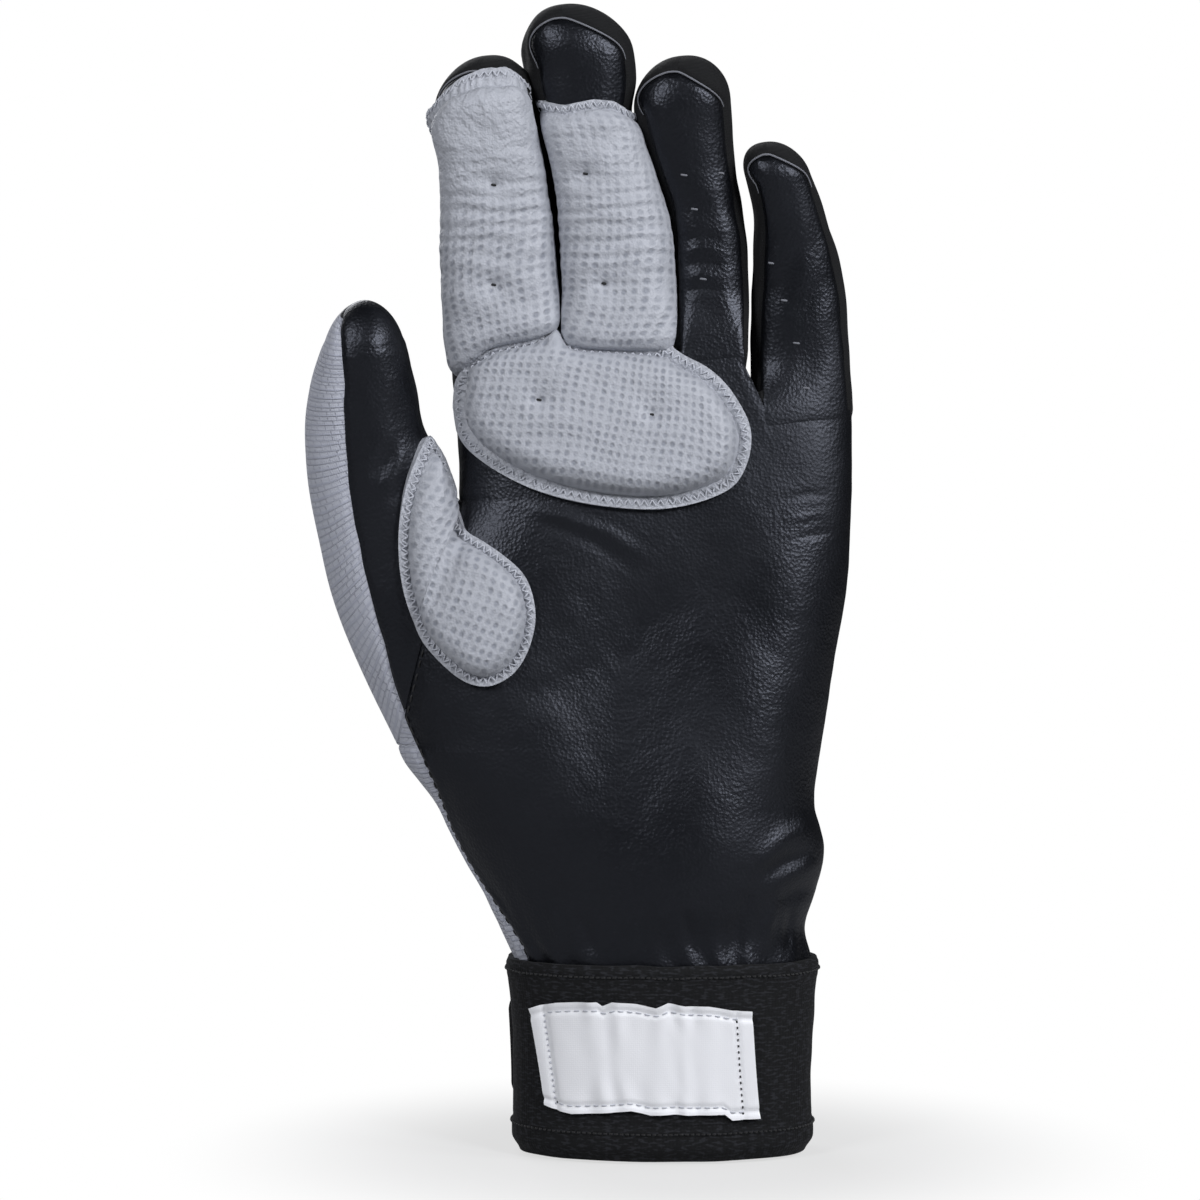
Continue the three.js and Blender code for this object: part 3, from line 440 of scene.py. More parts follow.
@dataclass(frozen=True)
class DottedLeather(Finish):
    """Grey sheep leather, hot-pressed with rows of round dots for grip."""

    dot_colour: str = "#878b94"
    pitch: float = 1.8
    dot_width: float = 1.3
    dot_length: float = 1.5
    waver: float = 3.4
    waver_length: float = 20
    wear: float = 3.0
    cloud: float = 7
    grain: float = 0.55
    crinkle: float = 1.5

    def dress(self, tree: Tree, shader: bpy.types.Node) -> None:
        """Adds the pressed dots, a little darker than the leather, and its grain."""
        place = solid_place(tree)
        dots = self.dots(tree)
        faint = add_node(tree, "Attribute", attribute_name="dot_share").outputs["Fac"]
        share = reckon(tree, "MULTIPLY", dots, faint)
        cloud = noise(tree, place, 1 / (self.cloud * MM), 4.0)
        colour = self.tint(tree, share, self.tint(tree, cloud, self.colour, self.pale), self.dot_colour)
        tree.links.new(colour, shader.inputs["Base Color"])
        grain = cells(tree, place, 1 / (self.grain * MM), feature="SMOOTH_F1", Smoothness=0.3)
        sunk = reckon(tree, "SUBTRACT", 1.0, share)
        crinkle = noise(tree, place, 1 / (self.crinkle * MM), 2.0)
        rough = reckon(tree, "MULTIPLY", crinkle, reckon(tree, "SUBTRACT", 1.15, faint))
        self.emboss(tree, shader, [(sunk, 0.2), (grain, 0.1), (cloud, 0.5), (rough, 0.7)])

    @property
    def pale(self) -> str:
        """The leather's paler places."""
        parts = [min(255, int(int(self.colour[k : k + 2], 16) * 1.07)) for k in (1, 3, 5)]
        return "#" + "".join(f"{part:02x}" for part in parts)

    def dots(self, tree: Tree) -> Socket:
        """Draws a square net of dots from the surface's own millimetres, in rows that waver."""
        uv = flat_place(tree)
        place = add_node(
            tree, "TexNoise", {"Vector": uv}, Scale=1 / self.waver_length, Detail=0.0, **FLAT_NOISE
        ).outputs["Color"]
        steps = (
            ("MULTIPLY_ADD", {1: (self.waver, self.waver, 0.0), 2: uv}),
            ("SCALE", {"Scale": 1 / self.pitch}),
            ("FRACTION", {}),
            ("SUBTRACT", {1: (0.5, 0.5, 0)}),
            ("MULTIPLY", {1: (2 * self.pitch / self.dot_width, 2 * self.pitch / self.dot_length, 0)}),
        )
        for operation, inputs in steps:
            place = add_node(tree, "VectorMath", {0: place, **inputs}, operation=operation).outputs[0]
        reach = add_node(tree, "VectorMath", {0: place}, operation="LENGTH").outputs["Value"]
        worn = noise(tree, uv, 1 / self.wear, 2.0, **FLAT_NOISE)
        strong = between(tree, worn, 0.3, 0.62, To_Min=0.35)
        edge = between(tree, reach, 0.3, 1.2, interpolation_type="SMOOTHSTEP", To_Max=0.0)
        tree.links.new(strong, edge.node.inputs["To Min"])
        return edge


@dataclass(frozen=True)
class KnittedMesh(Finish):
    """Warp-knitted polyester mesh in grey, with raised wavy lines and small bricks between them."""

    line_colour: str = "#8d91a3"
    line_share: float = 0.42
    wave: float = 4.2
    brick: float = 2.1
    loop: float = 0.5

    def dress(self, tree: Tree, shader: bpy.types.Node) -> None:
        """Adds the wavy lines, the bricks and the stitch texture."""
        uv = flat_place(tree)
        bricks = add_node(
            tree, "TexBrick", {"Vector": uv}, offset=0.5, Scale=1.0, Brick_Width=self.brick,
            Row_Height=self.wave / 2, Mortar_Size=0.13, Mortar_Smooth=0.6,
        ).outputs["Fac"]
        waves = add_node(
            tree, "TexWave", {"Vector": uv}, wave_type="BANDS", bands_direction="Y", wave_profile="SIN",
            Scale=math.tau / 20 / self.wave * 2, Distortion=1.6, Detail=1.0, Detail_Scale=0.6,
        ).outputs["Fac"]
        ridge = between(tree, waves, 0.8, 1.0)
        lines = reckon(tree, "MAXIMUM", bricks, ridge, use_clamp=True)
        soft = reckon(tree, "MULTIPLY", lines, self.line_share)
        tree.links.new(self.tint(tree, soft, self.colour, self.line_colour), shader.inputs["Base Color"])
        loops = cells(tree, uv, 1 / self.loop, voronoi_dimensions="2D", Randomness=0.15)
        shader.inputs["Sheen Weight"].default_value = 0.15
        self.emboss(tree, shader, [(lines, 0.16), (loops, 0.09)])


@dataclass(frozen=True)
class FineFabric(Finish):
    """Fabric of fine threads, drawn as rows of loops that stand a little proud."""

    thread: float = 0.6
    sheen: float = 0.12
    depth: float = 0.08
    fleck_colour: str = ""
    fleck: tuple[float, float] = (1.8, 0.5)

    def dress(self, tree: Tree, shader: bpy.types.Node) -> None:
        """Adds the loops, and flecks where the fabric has them."""
        uv = flat_place(tree)
        loops = cells(tree, uv, 1 / self.thread, voronoi_dimensions="2D", Randomness=0.3)
        if self.fleck_colour:
            shape = (1 / self.fleck[0], 1 / self.fleck[1], 0.0)
            dash = add_node(tree, "VectorMath", {0: uv, 1: shape}, operation="MULTIPLY").outputs[0]
            share = between(tree, noise(tree, dash, 1.0, 1.0, **FLAT_NOISE), 0.52, 0.66)
            colour = self.tint(tree, share, self.colour, self.fleck_colour)
            tree.links.new(colour, shader.inputs["Base Color"])
        shader.inputs["Sheen Weight"].default_value = self.sheen
        self.emboss(tree, shader, [(loops, self.depth)])


@dataclass
class Wardrobe:
    """The glove's materials, made once each."""

    # Black sheep nappa, drum dyed and lightly waxed: nearly black, with a wide soft highlight
    black_leather: Finish = NappaLeather("black_nappa_leather", "#07080b", 0.4, 1.45)
    # Grey sheep leather pressed with dots: pale, matt, each dot a small darker hollow
    grey_leather: Finish = DottedLeather("grey_dotted_leather", "#a2a5ac", 0.55)
    # Grey polyester mesh: matt, with faint blue-grey lines
    grey_mesh: Finish = KnittedMesh("grey_knitted_mesh", "#b0b3bd", 0.85)
    # Black elastane jersey: matt and nearly without highlight
    black_jersey: Finish = FineFabric("black_elastane_jersey", "#0b0c0e", 0.8, 1.35, 0.55, sheen=0.03)
    # Black knitted elastic: matt, with paler flecks of rubber
    black_elastic: Finish = FineFabric(
        "black_knitted_elastic", "#0c0d0f", 0.85, 1.35, thread=0.75, sheen=0.02, depth=0.12,
        fleck_colour="#222327",
    )
    # White woven polyester tape: bright, with a fine satin weave
    white_tape: Finish = FineFabric("white_woven_tape", "#eeeff2", 0.5, thread=0.45, depth=0.03, sheen=0.1)
    # Black hook and loop tape: rough and matt
    black_hook: Finish = FineFabric("black_hook_and_loop_tape", "#0e0f11", 0.9, thread=0.9, depth=0.4)
    # Spun polyester sewing thread, black and grey
    black_thread: Finish = FineFabric("black_sewing_thread", "#0f1012", 0.7, thread=0.3, depth=0.03)
    grey_thread: Finish = FineFabric("grey_sewing_thread", "#b9bcc4", 0.7, thread=0.3, depth=0.03)
    # Cut edge of black leather, where its paler inside shows
    cut_edge: Finish = FineFabric("cut_leather_edge", "#6f7178", 0.75, thread=0.4, depth=0.05)
    made: dict[str, bpy.types.Material] = field(default_factory=dict)

    def get(self, name: str) -> bpy.types.Material:
        """Gives a material by its field's name, and makes it the first time."""
        if name not in self.made:
            self.made[name] = getattr(self, name).build()
        return self.made[name]


# Meshes


def add_object(name: str, data: Any) -> bpy.types.Object:
    """Adds an object to the scene."""
    made = bpy.data.objects.new(name, data)
    bpy.context.scene.collection.objects.link(made)
    return made


@dataclass
class Piece:
    """Gathers grids and threads into one mesh, with a flat cut pattern in millimetres as its UV map."""

    name: str
    finishes: Sequence[str]
    points: list[Array] = field(default_factory=list)
    cuts: list[Array] = field(default_factory=list)
    shares: list[Array] = field(default_factory=list)
    faces: list[Array] = field(default_factory=list)
    slots: list[Array] = field(default_factory=list)
    count: int = 0

    def add(self, points: Array, cut: Array, faces: Array, slot: int, share: Optional[Array] = None) -> None:
        """Adds places, their flat pattern and faces that use them."""
        points = points.reshape(-1, 3)
        self.points.append(points)
        self.cuts.append(cut.reshape(-1, 2))
        self.shares.append(np.ones(len(points)) if share is None else share.reshape(-1))
        self.faces.append(faces + self.count)
        self.slots.append(np.full(len(faces), slot))
        self.count += len(points)

    @staticmethod
    def quads(rows: int, columns: int, flip: bool) -> Array:
        """Faces of a grid of places."""
        index = np.arange(rows * columns).reshape(rows, columns)
        corners = [index[:-1, :-1], index[1:, :-1], index[1:, 1:], index[:-1, 1:]]
        return np.stack(corners[::-1] if flip else corners, -1).reshape(-1, 4)

    def sheet(
        self, outer: Array, normals: Array, cut: Array, thickness: float = 0.0, closed: bool = False,
        share: Optional[Array] = None, inner: Optional[Array] = None,
    ) -> None:
        """Adds a sheet with an outside, an inside and its cut edges, all in the first finish.

        Args:
            outer: rows and columns of places on the outside.
            normals: the outward directions.
            cut: the flat pattern, in millimetres.
            thickness: the sheet's thickness, if its inside runs along the outside.
            closed: whether the last column meets the first.
            share: how strongly its pattern shows.
            inner: places of the inside otherwise.
        """
        rows, columns = outer.shape[:2]
        if inner is None:
            inner = outer - normals * thickness
        facing = np.cross(outer[1:, :-1] - outer[:-1, :-1], outer[:-1, 1:] - outer[:-1, :-1])
        flip = np.sum(facing * normals[:-1, :-1]) < 0
        both = np.concatenate([outer.reshape(-1, 3), inner.reshape(-1, 3)])
        patterns = np.concatenate([cut.reshape(-1, 2)] * 2)
        shares = None if share is None else np.concatenate([share.reshape(-1)] * 2)
        front = self.quads(rows, columns, flip)
        back = self.quads(rows, columns, not flip) + rows * columns
        index = np.arange(rows * columns).reshape(rows, columns)
        rims = [index[0], index[-1][::-1]]
        if not closed:
            rims += [index[::-1, 0], index[:, -1]]
        sides = []
        for rim in rims:
            a, b = rim[:-1], rim[1:]
            side = np.stack([a, b, b + rows * columns, a + rows * columns], -1)
            sides.append(side[:, ::-1] if flip else side)
        self.add(both, patterns, np.concatenate([front, back] + sides), 0, shares)

    def threads(self, starts: Array, ends: Array, normals: Array, radius: float, slot: int) -> None:
        """Adds stitches: short rounded lengths of thread that dip into the material at both ends.

        Args:
            starts: where the stitches come up.
            ends: where they go down.
            normals: outward directions of the surface.
            radius: the thread's radius.
            slot: which finish they take.
        """
        along = unit(ends - starts)
        across = unit(np.cross(normals, along))
        lift = unit(np.cross(along, across))
        lift = np.where(np.sum(lift * normals, axis=-1, keepdims=True) < 0, -lift, lift)
        # Each ring of a stitch: its place along it, its height and its size, both in radii
        shape = ((0.0, -0.7, 0.75), (0.18, 0.25, 1.0), (0.5, 0.55, 1.0), (0.82, 0.25, 1.0), (1.0, -0.7, 0.75))
        middles = np.stack([mix(starts, ends, t) + lift * (height * radius) for t, height, _ in shape], 1)
        sizes = np.array([[radius * size] for _, _, size in shape])
        self.tubes(middles, across[:, None], lift[:, None], sizes, slot, 6)

    def cord(self, path: Array, normals: Array, radii: Array, slot: int) -> None:
        """Adds a thin round edge along a path of places."""
        along = unit(np.gradient(path, axis=0))
        across = unit(np.cross(normals, along))
        self.tubes(path[None], across[None], unit(np.cross(along, across))[None], radii[:, None], slot, 8)

    def tubes(self, middles: Array, across: Array, lift: Array, radii: Array, slot: int, sides: int) -> None:
        """Adds round tubes.

        Args:
            middles: one row of places for each tube.
            across: directions across the tubes.
            lift: directions square to those.
            radii: the tubes' radii along them.
            slot: which finish they take.
            sides: how many sides they have.
        """
        turns = np.linspace(0, math.tau, sides, endpoint=False)
        rings = [middles + (across * math.cos(a) + lift * math.sin(a)) * radii for a in turns]
        points = np.stack(rings, 2)
        index = np.arange(points.size // 3).reshape(points.shape[:-1])
        turned = np.roll(index, -1, axis=2)
        corners = [index[:, :-1], turned[:, :-1], turned[:, 1:], index[:, 1:]]
        faces = np.stack(corners, -1).reshape(-1, 4)
        self.add(points, points.reshape(-1, 3)[:, [0, 2]], faces, slot)

    def running_stitch(
        self, path: Array, normals: Array, first: int, past: int, step: int, reach: int, height: float,
        radius: float, slot: int,
    ) -> None:
        """Adds a row of stitches along the places of a path.

        Args:
            path: the places.
            normals: outward directions there.
            first: the place of the first stitch.
            past: the place that no stitch starts at or after.
            step: places from stitch to stitch.
            reach: places from a stitch's start to its end.
            height: how far the stitches stand off.
            radius: the thread's radius.
            slot: which finish they take.
        """
        at = np.arange(first, past, step)
        lift = normals[at] * height
        self.threads(path[at] + lift, path[at + reach] + lift, normals[at], radius, slot)

    def build(self, wardrobe: Wardrobe) -> bpy.types.Object:
        """Makes the object, smooth but for its cut edges."""
        points = np.concatenate(self.points) * MM
        faces = np.concatenate(self.faces)
        mesh = bpy.data.meshes.new(self.name)
        mesh.from_pydata(points.tolist(), [], faces.tolist())
        layer = mesh.uv_layers.new(name="cut")
        corner = np.zeros(len(mesh.loops), np.int32)
        mesh.loops.foreach_get("vertex_index", corner)
        layer.data.foreach_set("uv", np.concatenate(self.cuts)[corner].astype(np.float32).ravel())
        share = mesh.attributes.new("dot_share", "FLOAT", "POINT")
        share.data.foreach_set("value", np.concatenate(self.shares).astype(np.float32))
        for name in self.finishes:
            mesh.materials.append(wardrobe.get(name))
        mesh.polygons.foreach_set("material_index", np.concatenate(self.slots).astype(np.int32))
        work = bmesh.new()
        work.from_mesh(mesh)
        bmesh.ops.remove_doubles(work, verts=work.verts, dist=2e-6)
        bmesh.ops.dissolve_degenerate(work, edges=work.edges, dist=1e-6)
        work.to_mesh(mesh)
        work.free()
        mesh.polygons.foreach_set("use_smooth", np.ones(len(mesh.polygons), bool))
        mesh.set_sharp_from_angle(angle=math.radians(SHARP_ANGLE))
        return add_object(self.name, mesh)


# The glove's own forms


@dataclass(frozen=True)
class Crease:
    """A fold or ridge of soft leather along a path on the front."""

    path: Path
    width: float
    height: float

    def lift(self, x: Array, z: Array) -> Array:
        """How far the leather stands up or sinks near the path, fading at both ends."""
        away, share = path_distance(x, z, self.path)
        fade = np.sin(np.pi * np.clip(share, 0.02, 0.98)) ** 0.6
        return self.height * bell(away, self.width) * fade


@dataclass
class Mound:
    """A broad soft rise of the palm."""

    x: float
    z: float
    width: float
    length: float
    turn: float
    height: float

    def lift(self, x: Array, z: Array) -> Array:
        """The rise at places of the front."""
        c, s = math.cos(math.radians(self.turn)), math.sin(math.radians(self.turn))
        u = ((x - self.x) * c + (z - self.z) * s) / self.width
        v = (-(x - self.x) * s + (z - self.z) * c) / self.length
        return self.height * np.exp(-(u * u + v * v))


@dataclass
class Fold:
    """A finger's fold line across the knuckles."""

    x: float
    z: float
    left: float
    right: float


@dataclass
class HandForm:
    """The hand from cuff to knuckles, as sections of rounded boxes."""

    cuff_width: float = 64.4
    cuff_depth: float = 39.6
    cuff_height: float = 41.0
    cuff_flare: float = 1.3
    cuff_offset: float = 0.5
    cuff_thickness: float = 1.6
    hand_height: float = 129.9
    palm_depth: float = 36.0
    thumb_root_depth: float = 28.0
    seam_gap: float = 0.3
    fold_gap: float = 0.4
    finger_gap: float = 1.6
    lean: float = 6.0
    ulnar_wrap: float = 16.0
    finger_widths: tuple[float, ...] = (23.4, 21.6, 15.3, 21.6)
    fold_drops: tuple[float, ...] = (1.3, 0.0, 0.9, 13.9)
    heights: tuple[float, ...] = (0, 0.05, 0.116, 0.182, 0.249, 0.348, 0.48, 0.613, 0.754, 0.878, 1)
    radial: tuple[float, ...] = (0.401, 0.448, 0.501, 0.555, 0.652, 0.6, 0.55, 0.498, 0.503, 0.521)
    ulnar: tuple[float, ...] = (0.36, 0.392, 0.409, 0.384, 0.399, 0.431, 0.464, 0.476, 0.477, 0.479)
    depths: tuple[float, ...] = (1.04, 1.06, 1.06, 1.04, 1.0, 0.98, 0.94, 0.86, 0.76, 0.69)
    powers: tuple[float, ...] = (2.3, 2.3, 2.3, 2.4, 2.5, 2.6, 2.7, 2.9, 3.1, 3.4, 3.8)
    cuff_levels: tuple[float, ...] = (0, 0.06, 0.35, 0.7, 1)
    cuff_flares: tuple[float, ...] = (-0.5, 0, -0.2, 0.25, 1)
    cuff_power: float = 2.3
    edge_power: float = 1.5
    cuff_blend: float = 12.0
    thumb_shares: tuple[float, float] = (0.348, 0.754)
    mounds: tuple[Mound, ...] = (
        Mound(*(21.9, 81.9), 17, 46, -33, 4.0),
        Mound(*(-29.0, 86.2), 15, 26, 24, 2.6),
        Mound(*(-4.3, 109.9), 17, 36, -33, -2.6),
    )

    def __post_init__(self) -> None:
        """Works out the folds and the tables in millimetres."""
        c = math.cos(math.radians(self.lean))
        widths = [width * c for width in self.finger_widths]
        self.palm_width = sum(widths) + 3 * self.finger_gap
        left = -self.radial[-1] * self.palm_width
        self.folds = []
        top = self.cuff_height + self.hand_height
        for width, drop in zip(widths, self.fold_drops):
            self.folds.append(Fold(left + width / 2, top - drop, left, left + width))
            left += width + self.finger_gap
        self.inset = self.cuff_thickness + self.seam_gap
        wrist = self.cuff_width / 2 + self.cuff_flare - self.inset
        self.left_table = [self.cuff_offset - wrist, *(-share * self.palm_width for share in self.radial)]
        self.right_table = [self.cuff_offset + wrist, *(share * self.palm_width for share in self.ulnar)]
        wrist_depth = self.cuff_depth / 2 + self.cuff_flare - self.inset
        self.depth_table = [wrist_depth, *(share * self.palm_depth / 2 for share in self.depths)]
        self.low, self.high = (self.cuff_height + share * self.hand_height for share in self.thumb_shares)
        self.low_x, self.high_x = (
            float(curve(self.heights, self.left_table, share)) for share in self.thumb_shares
        )

    def fold_height(self, fold: Fold, x: Array) -> Array:
        """Height of a finger's fold line at a place across."""
        return fold.z + (x - fold.x) * math.tan(math.radians(self.lean))

    def section(self, z: Array) -> dict[str, Array]:
        """Sizes of the hand's section at heights, with the turn at which the thumb's fold cuts it."""
        z = np.asarray(z, float)
        share = (z - self.cuff_height) / self.hand_height
        tables = (self.right_table, self.left_table, self.depth_table, self.powers)
        right, left, depth, power = (curve(self.heights, table, share) for table in tables)
        inside = (z > self.low) & (z < self.high)
        t = np.clip((z - self.low) / (self.high - self.low), 0, 1)
        left = np.where(inside, mix(self.low_x, self.high_x, t) + self.fold_gap / 2, left)
        root = self.thumb_root_depth * np.sqrt(t * (1 - t))
        front = np.minimum(root / depth, 0.97)
        side = (1 - front**power) ** (1 / power)
        half = np.where(inside, (right - left) / (1 + side), (right - left) / 2)
        start = np.where(inside, np.degrees(np.arctan2(front, -side)), 180.0)
        centre = right - half
        flare = self.flare(z)
        tucked = z < self.cuff_height
        half = np.where(tucked, self.cuff_width / 2 + flare - self.inset, half)
        depth = np.where(tucked, self.cuff_depth / 2 + flare - self.inset, depth)
        centre = np.where(tucked, self.cuff_offset, centre)
        return {"centre": centre, "half": half, "depth": depth, "power": power, "start": start}

    def lift(self, x: Array, z: Array) -> Array:
        """The palm's broad rises and hollow."""
        return sum(mound.lift(x, z) for mound in self.mounds)

    def at(self, z: Array, degrees: Array) -> Array:
        """Places of the hand's surface. Where the thumb is cut off, they lie on the straight cut."""
        z, degrees = np.broadcast_arrays(np.asarray(z, float), np.asarray(degrees, float))
        form = self.section(z)
        cut = (degrees > form["start"]) & (degrees < 360 - form["start"])
        c, s, length = box_outline(np.where(cut, form["start"], degrees), form["power"])
        reach = 1 / length
        x = form["centre"] + form["half"] * reach * c
        y = -form["depth"] * reach * s
        across = (degrees - form["start"]) / np.maximum(360 - 2 * form["start"], 1e-6)
        y = np.where(cut, y * (1 - 2 * across), y)
        front = np.clip(-y / form["depth"], 0, 1) ** self.edge_power
        y = y - self.lift(x, z) * front * smooth(self.cuff_height, self.cuff_height + self.cuff_blend, z)
        return np.stack([x, y, z], -1)

    def front(self, x: Array, z: Array) -> Array:
        """Depth coordinate of the hand's front at places."""
        form = self.section(z)
        across = np.minimum(np.abs(x - form["centre"]) / form["half"], 0.999)
        depth = form["depth"] * (1 - across ** form["power"]) ** (1 / form["power"])
        share = np.clip(depth / form["depth"], 0, 1) ** self.edge_power
        return -(depth + self.lift(x, z) * share)

    def flare(self, z: Array) -> Array:
        """How far the cuff stands out at heights."""
        level = np.clip(z / self.cuff_height, 0, 1)
        return self.cuff_flare * curve(self.cuff_levels, self.cuff_flares, level)

    def cuff(self, z: Array, degrees: Array) -> Array:
        """Places of the cuff's outside."""
        z, degrees = np.broadcast_arrays(np.asarray(z, float), np.asarray(degrees, float))
        c, s, length = box_outline(degrees, self.cuff_power)
        reach = 1 / length
        half, depth = self.cuff_width / 2 + self.flare(z), self.cuff_depth / 2 + self.flare(z)
        return np.stack([self.cuff_offset + half * reach * c, -depth * reach * s, z], -1)

    def cuff_normals(self, z: Array, degrees: Array) -> Array:
        """Outward directions of the cuff."""
        turn = 0.5
        return unit(np.cross(UP, self.cuff(z, degrees + turn) - self.cuff(z, degrees - turn)))

    def cuff_turn(self, x: Any, back: bool = False) -> Array:
        """The turn at which the cuff reaches a place across, on its front or its back."""
        across = np.clip((np.asarray(x, float) - self.cuff_offset) / (self.cuff_width / 2), -1, 1)
        depth = (1 - np.abs(across) ** self.cuff_power) ** (1 / self.cuff_power)
        degrees = np.degrees(np.arctan2(depth, across))
        return 360 - degrees if back else degrees


class DigitForm:
    """A finger or thumb, as sections of rounded boxes from its fold (0) to its tip (1)."""

    length: float
    cap_share: float
    front_centre: float
    front_half: float
    low_strip: float
    high_strip: float
    cap_power: float = 2.2
    square_share: float = 0.25
    arch_share: float = 0.16
    tip_turn: float = 0.0

    def centre(self, s: Array) -> Array:
        """The middles of the sections. Under 0 they run straight on into the hand."""
        raise NotImplementedError

    def rib(self, s: Array) -> tuple[Array, Array, Array, Array]:
        """The sections' side direction, half width, half depth and roundness power."""
        raise NotImplementedError

    def at(self, s: Array, degrees: Array) -> Array:
        """Places of the surface. 0 degrees is the side, 90 the front."""
        s, degrees = np.broadcast_arrays(np.asarray(s, float), np.asarray(degrees, float))
        fine = 0.002
        along = unit(self.centre(np.clip(s + fine, fine, 1)) - self.centre(np.clip(s - fine, 0, 1 - fine)))
        side, half_width, half_depth, power = self.rib(np.clip(s, 0, 1))
        t = np.clip((s - self.cap_share) / (1 - self.cap_share), 0, 1)
        shrink = (1 - t**self.cap_power) ** (1 / self.cap_power)
        square = smooth(0, self.square_share, s)[..., None]
        lean = np.sum(along * PALMWARD, axis=-1, keepdims=True)
        front = unit(PALMWARD - along * lean * square)
        side = unit(side - front * np.sum(side * front, axis=-1, keepdims=True))
        c, d, length = box_outline(degrees, power)
        reach = shrink / length
        return (
            self.centre(s)
            + side * (half_width * reach * c)[..., None]
            + front * (half_depth * reach * d)[..., None]
        )

    def front_turns(self, s: Array) -> tuple[Array, Array]:
        """The turns of the front piece's two edges, which close to an arch under the tip."""
        early = 0.02
        t = (np.asarray(s, float) - self.cap_share + early) / (self.arch - self.cap_share + early)
        t = np.clip(t, 0, 1)
        half = self.front_half * np.sqrt(1 - (1 - self.arch_share**2) * t**2.4)
        middle = self.front_centre + self.tip_turn * smooth(0, 1, t)
        wider = self.tip_turn * smooth(0, 0.6, t) * (1 - t**2)
        return middle - half, middle + half + wider

    def bend_places(self, *reaches: float) -> list[Array]:
        """The middles at lengths from the fold."""
        return [self.centre(np.array(reach / self.length)) for reach in reaches]

    @property
    def arch(self) -> float:
        """Where the front piece ends under the tip."""
        return self.cap_share + (1 - self.cap_share) * math.sin(3 / 5 * math.pi / 2)


@dataclass
class FingerForm(DigitForm):
    """A finger that leans with the others and curls a little."""

    fold: Fold
    width: float
    depth: float
    length: float
    heights: tuple[float, ...]
    drifts: tuple[float, ...]
    widths: tuple[float, ...]
    low_strip: float = 64.0
    high_strip: float = 64.0
    front_centre: float = 90.0
    front_half: float = 52.0
    tip_turn: float = 20.0
    depth_places: tuple[float, ...] = (0, 0.3, 0.6, 0.85, 1)
    depths: tuple[float, ...] = (1, 0.97, 0.88, 0.8, 0.76)
    lean: float = 6.0
    gap: float = 0.4
    curl: float = 12.0

    def __post_init__(self) -> None:
        """Works out the finger's own directions and where its tip begins to close."""
        c, s = math.cos(math.radians(self.lean)), math.sin(math.radians(self.lean))
        self.along, self.side = np.array([-s, 0.0, c]), np.array([c, 0.0, s])
        self.cap_share = 1 - self.widths[-1] * self.width / 2 / self.length

    def centre(self, s: Array) -> Array:
        """The middles of the sections."""
        s = np.asarray(s, float)[..., None]
        root = np.array([self.fold.x, 0.0, self.fold.z])
        drift = curve(self.heights, self.drifts, s) * self.width
        bend = self.curl * np.maximum(s, 0) ** 2
        along = self.gap / 2 + s * (self.length - self.gap / 2)
        return root + self.along * along + self.side * drift + PALMWARD * bend

    def rib(self, s: Array) -> tuple[Array, Array, Array, Array]:
        """The sections' side direction, half width, half depth and roundness power."""
        half_width = curve(self.heights, self.widths, s) * self.width / 2
        half_depth = curve(self.depth_places, self.depths, s) * self.depth / 2
        power = mix(3.6, 2.4, np.minimum(s * 2, 1))
        return np.broadcast_to(self.side, (*s.shape, 3)), half_width, half_depth, power


@dataclass
class ThumbForm(DigitForm):
    """The thumb, whose ribs run from its inner edge, beside the index finger, to its outer one."""

    hand: HandForm
    length: float = 71.8
    curl: float = 14.0
    front_centre: float = 60.0
    front_half: float = 50.0
    low_strip: float = 50.0
    high_strip: float = 0.0
    cap_share: float = 0.85
    ribs: tuple[float, ...] = (0, 0.2, 0.38, 0.56, 0.72, 0.88)
    inner: tuple = ((0, 0), (0.036, 0.403), (0.095, 0.498), (0.155, 0.566), (0.209, 0.685), (0.266, 0.795))
    outer: tuple = ((0, 0), (0.243, -0.078), (0.379, 0.167), (0.478, 0.419), (0.502, 0.583), (0.493, 0.73))
    tip: tuple[float, float] = (0.404, 0.872)
    cap_power: float = 1.75
    depths: tuple[float, ...] = (1, 0.93, 0.87, 0.83, 0.78, 0.7)
    powers: tuple[float, ...] = (2, 2.2, 2.3, 2.4, 2.4, 2.4)

    def __post_init__(self) -> None:
        """Works out the fold line and both edges in millimetres."""
        low = np.array([self.hand.low_x, 0.0, self.hand.low])
        high = np.array([self.hand.high_x, 0.0, self.hand.high])
        self.middle = (low + high) / 2
        self.along = unit(high - low)
        self.out = np.array([-self.along[2], 0.0, self.along[0]])
        self.half = float(np.linalg.norm(high - low)) / 2
        inner = [self.spot(*place) for place in self.inner]
        outer = [self.spot(*place) for place in self.outer]
        inner[0] = inner[0] + self.along * self.half
        outer[0] = outer[0] - self.along * self.half
        self.middles = np.array([(a + b) / 2 for a, b in zip(inner, outer)] + [self.spot(*self.tip)])
        self.spans = np.array([a - b for a, b in zip(inner, outer)])

    def spot(self, out: float, along: float) -> Array:
        """A place out from the fold and along it."""
        reach = self.out * (out * self.length + self.hand.fold_gap / 2)
        return self.middle + reach + self.along * along * self.length

    def centre(self, s: Array) -> Array:
        """The middles of the sections."""
        s = np.asarray(s, float)
        point = curve((*self.ribs, 1), self.middles, s)
        inward = np.minimum(s, 0)[..., None] * self.length * self.out
        return point + inward + PALMWARD * (self.curl * np.maximum(s, 0) ** 1.5)[..., None]

    def rib(self, s: Array) -> tuple[Array, Array, Array, Array]:
        """The sections' side direction, half width, half depth and roundness power."""
        span = curve(self.ribs, self.spans, s)
        depth = curve(self.ribs, self.depths, s) * self.hand.thumb_root_depth / 2
        return unit(span), np.linalg.norm(span, axis=-1) / 2, depth, curve(self.ribs, self.powers, s)


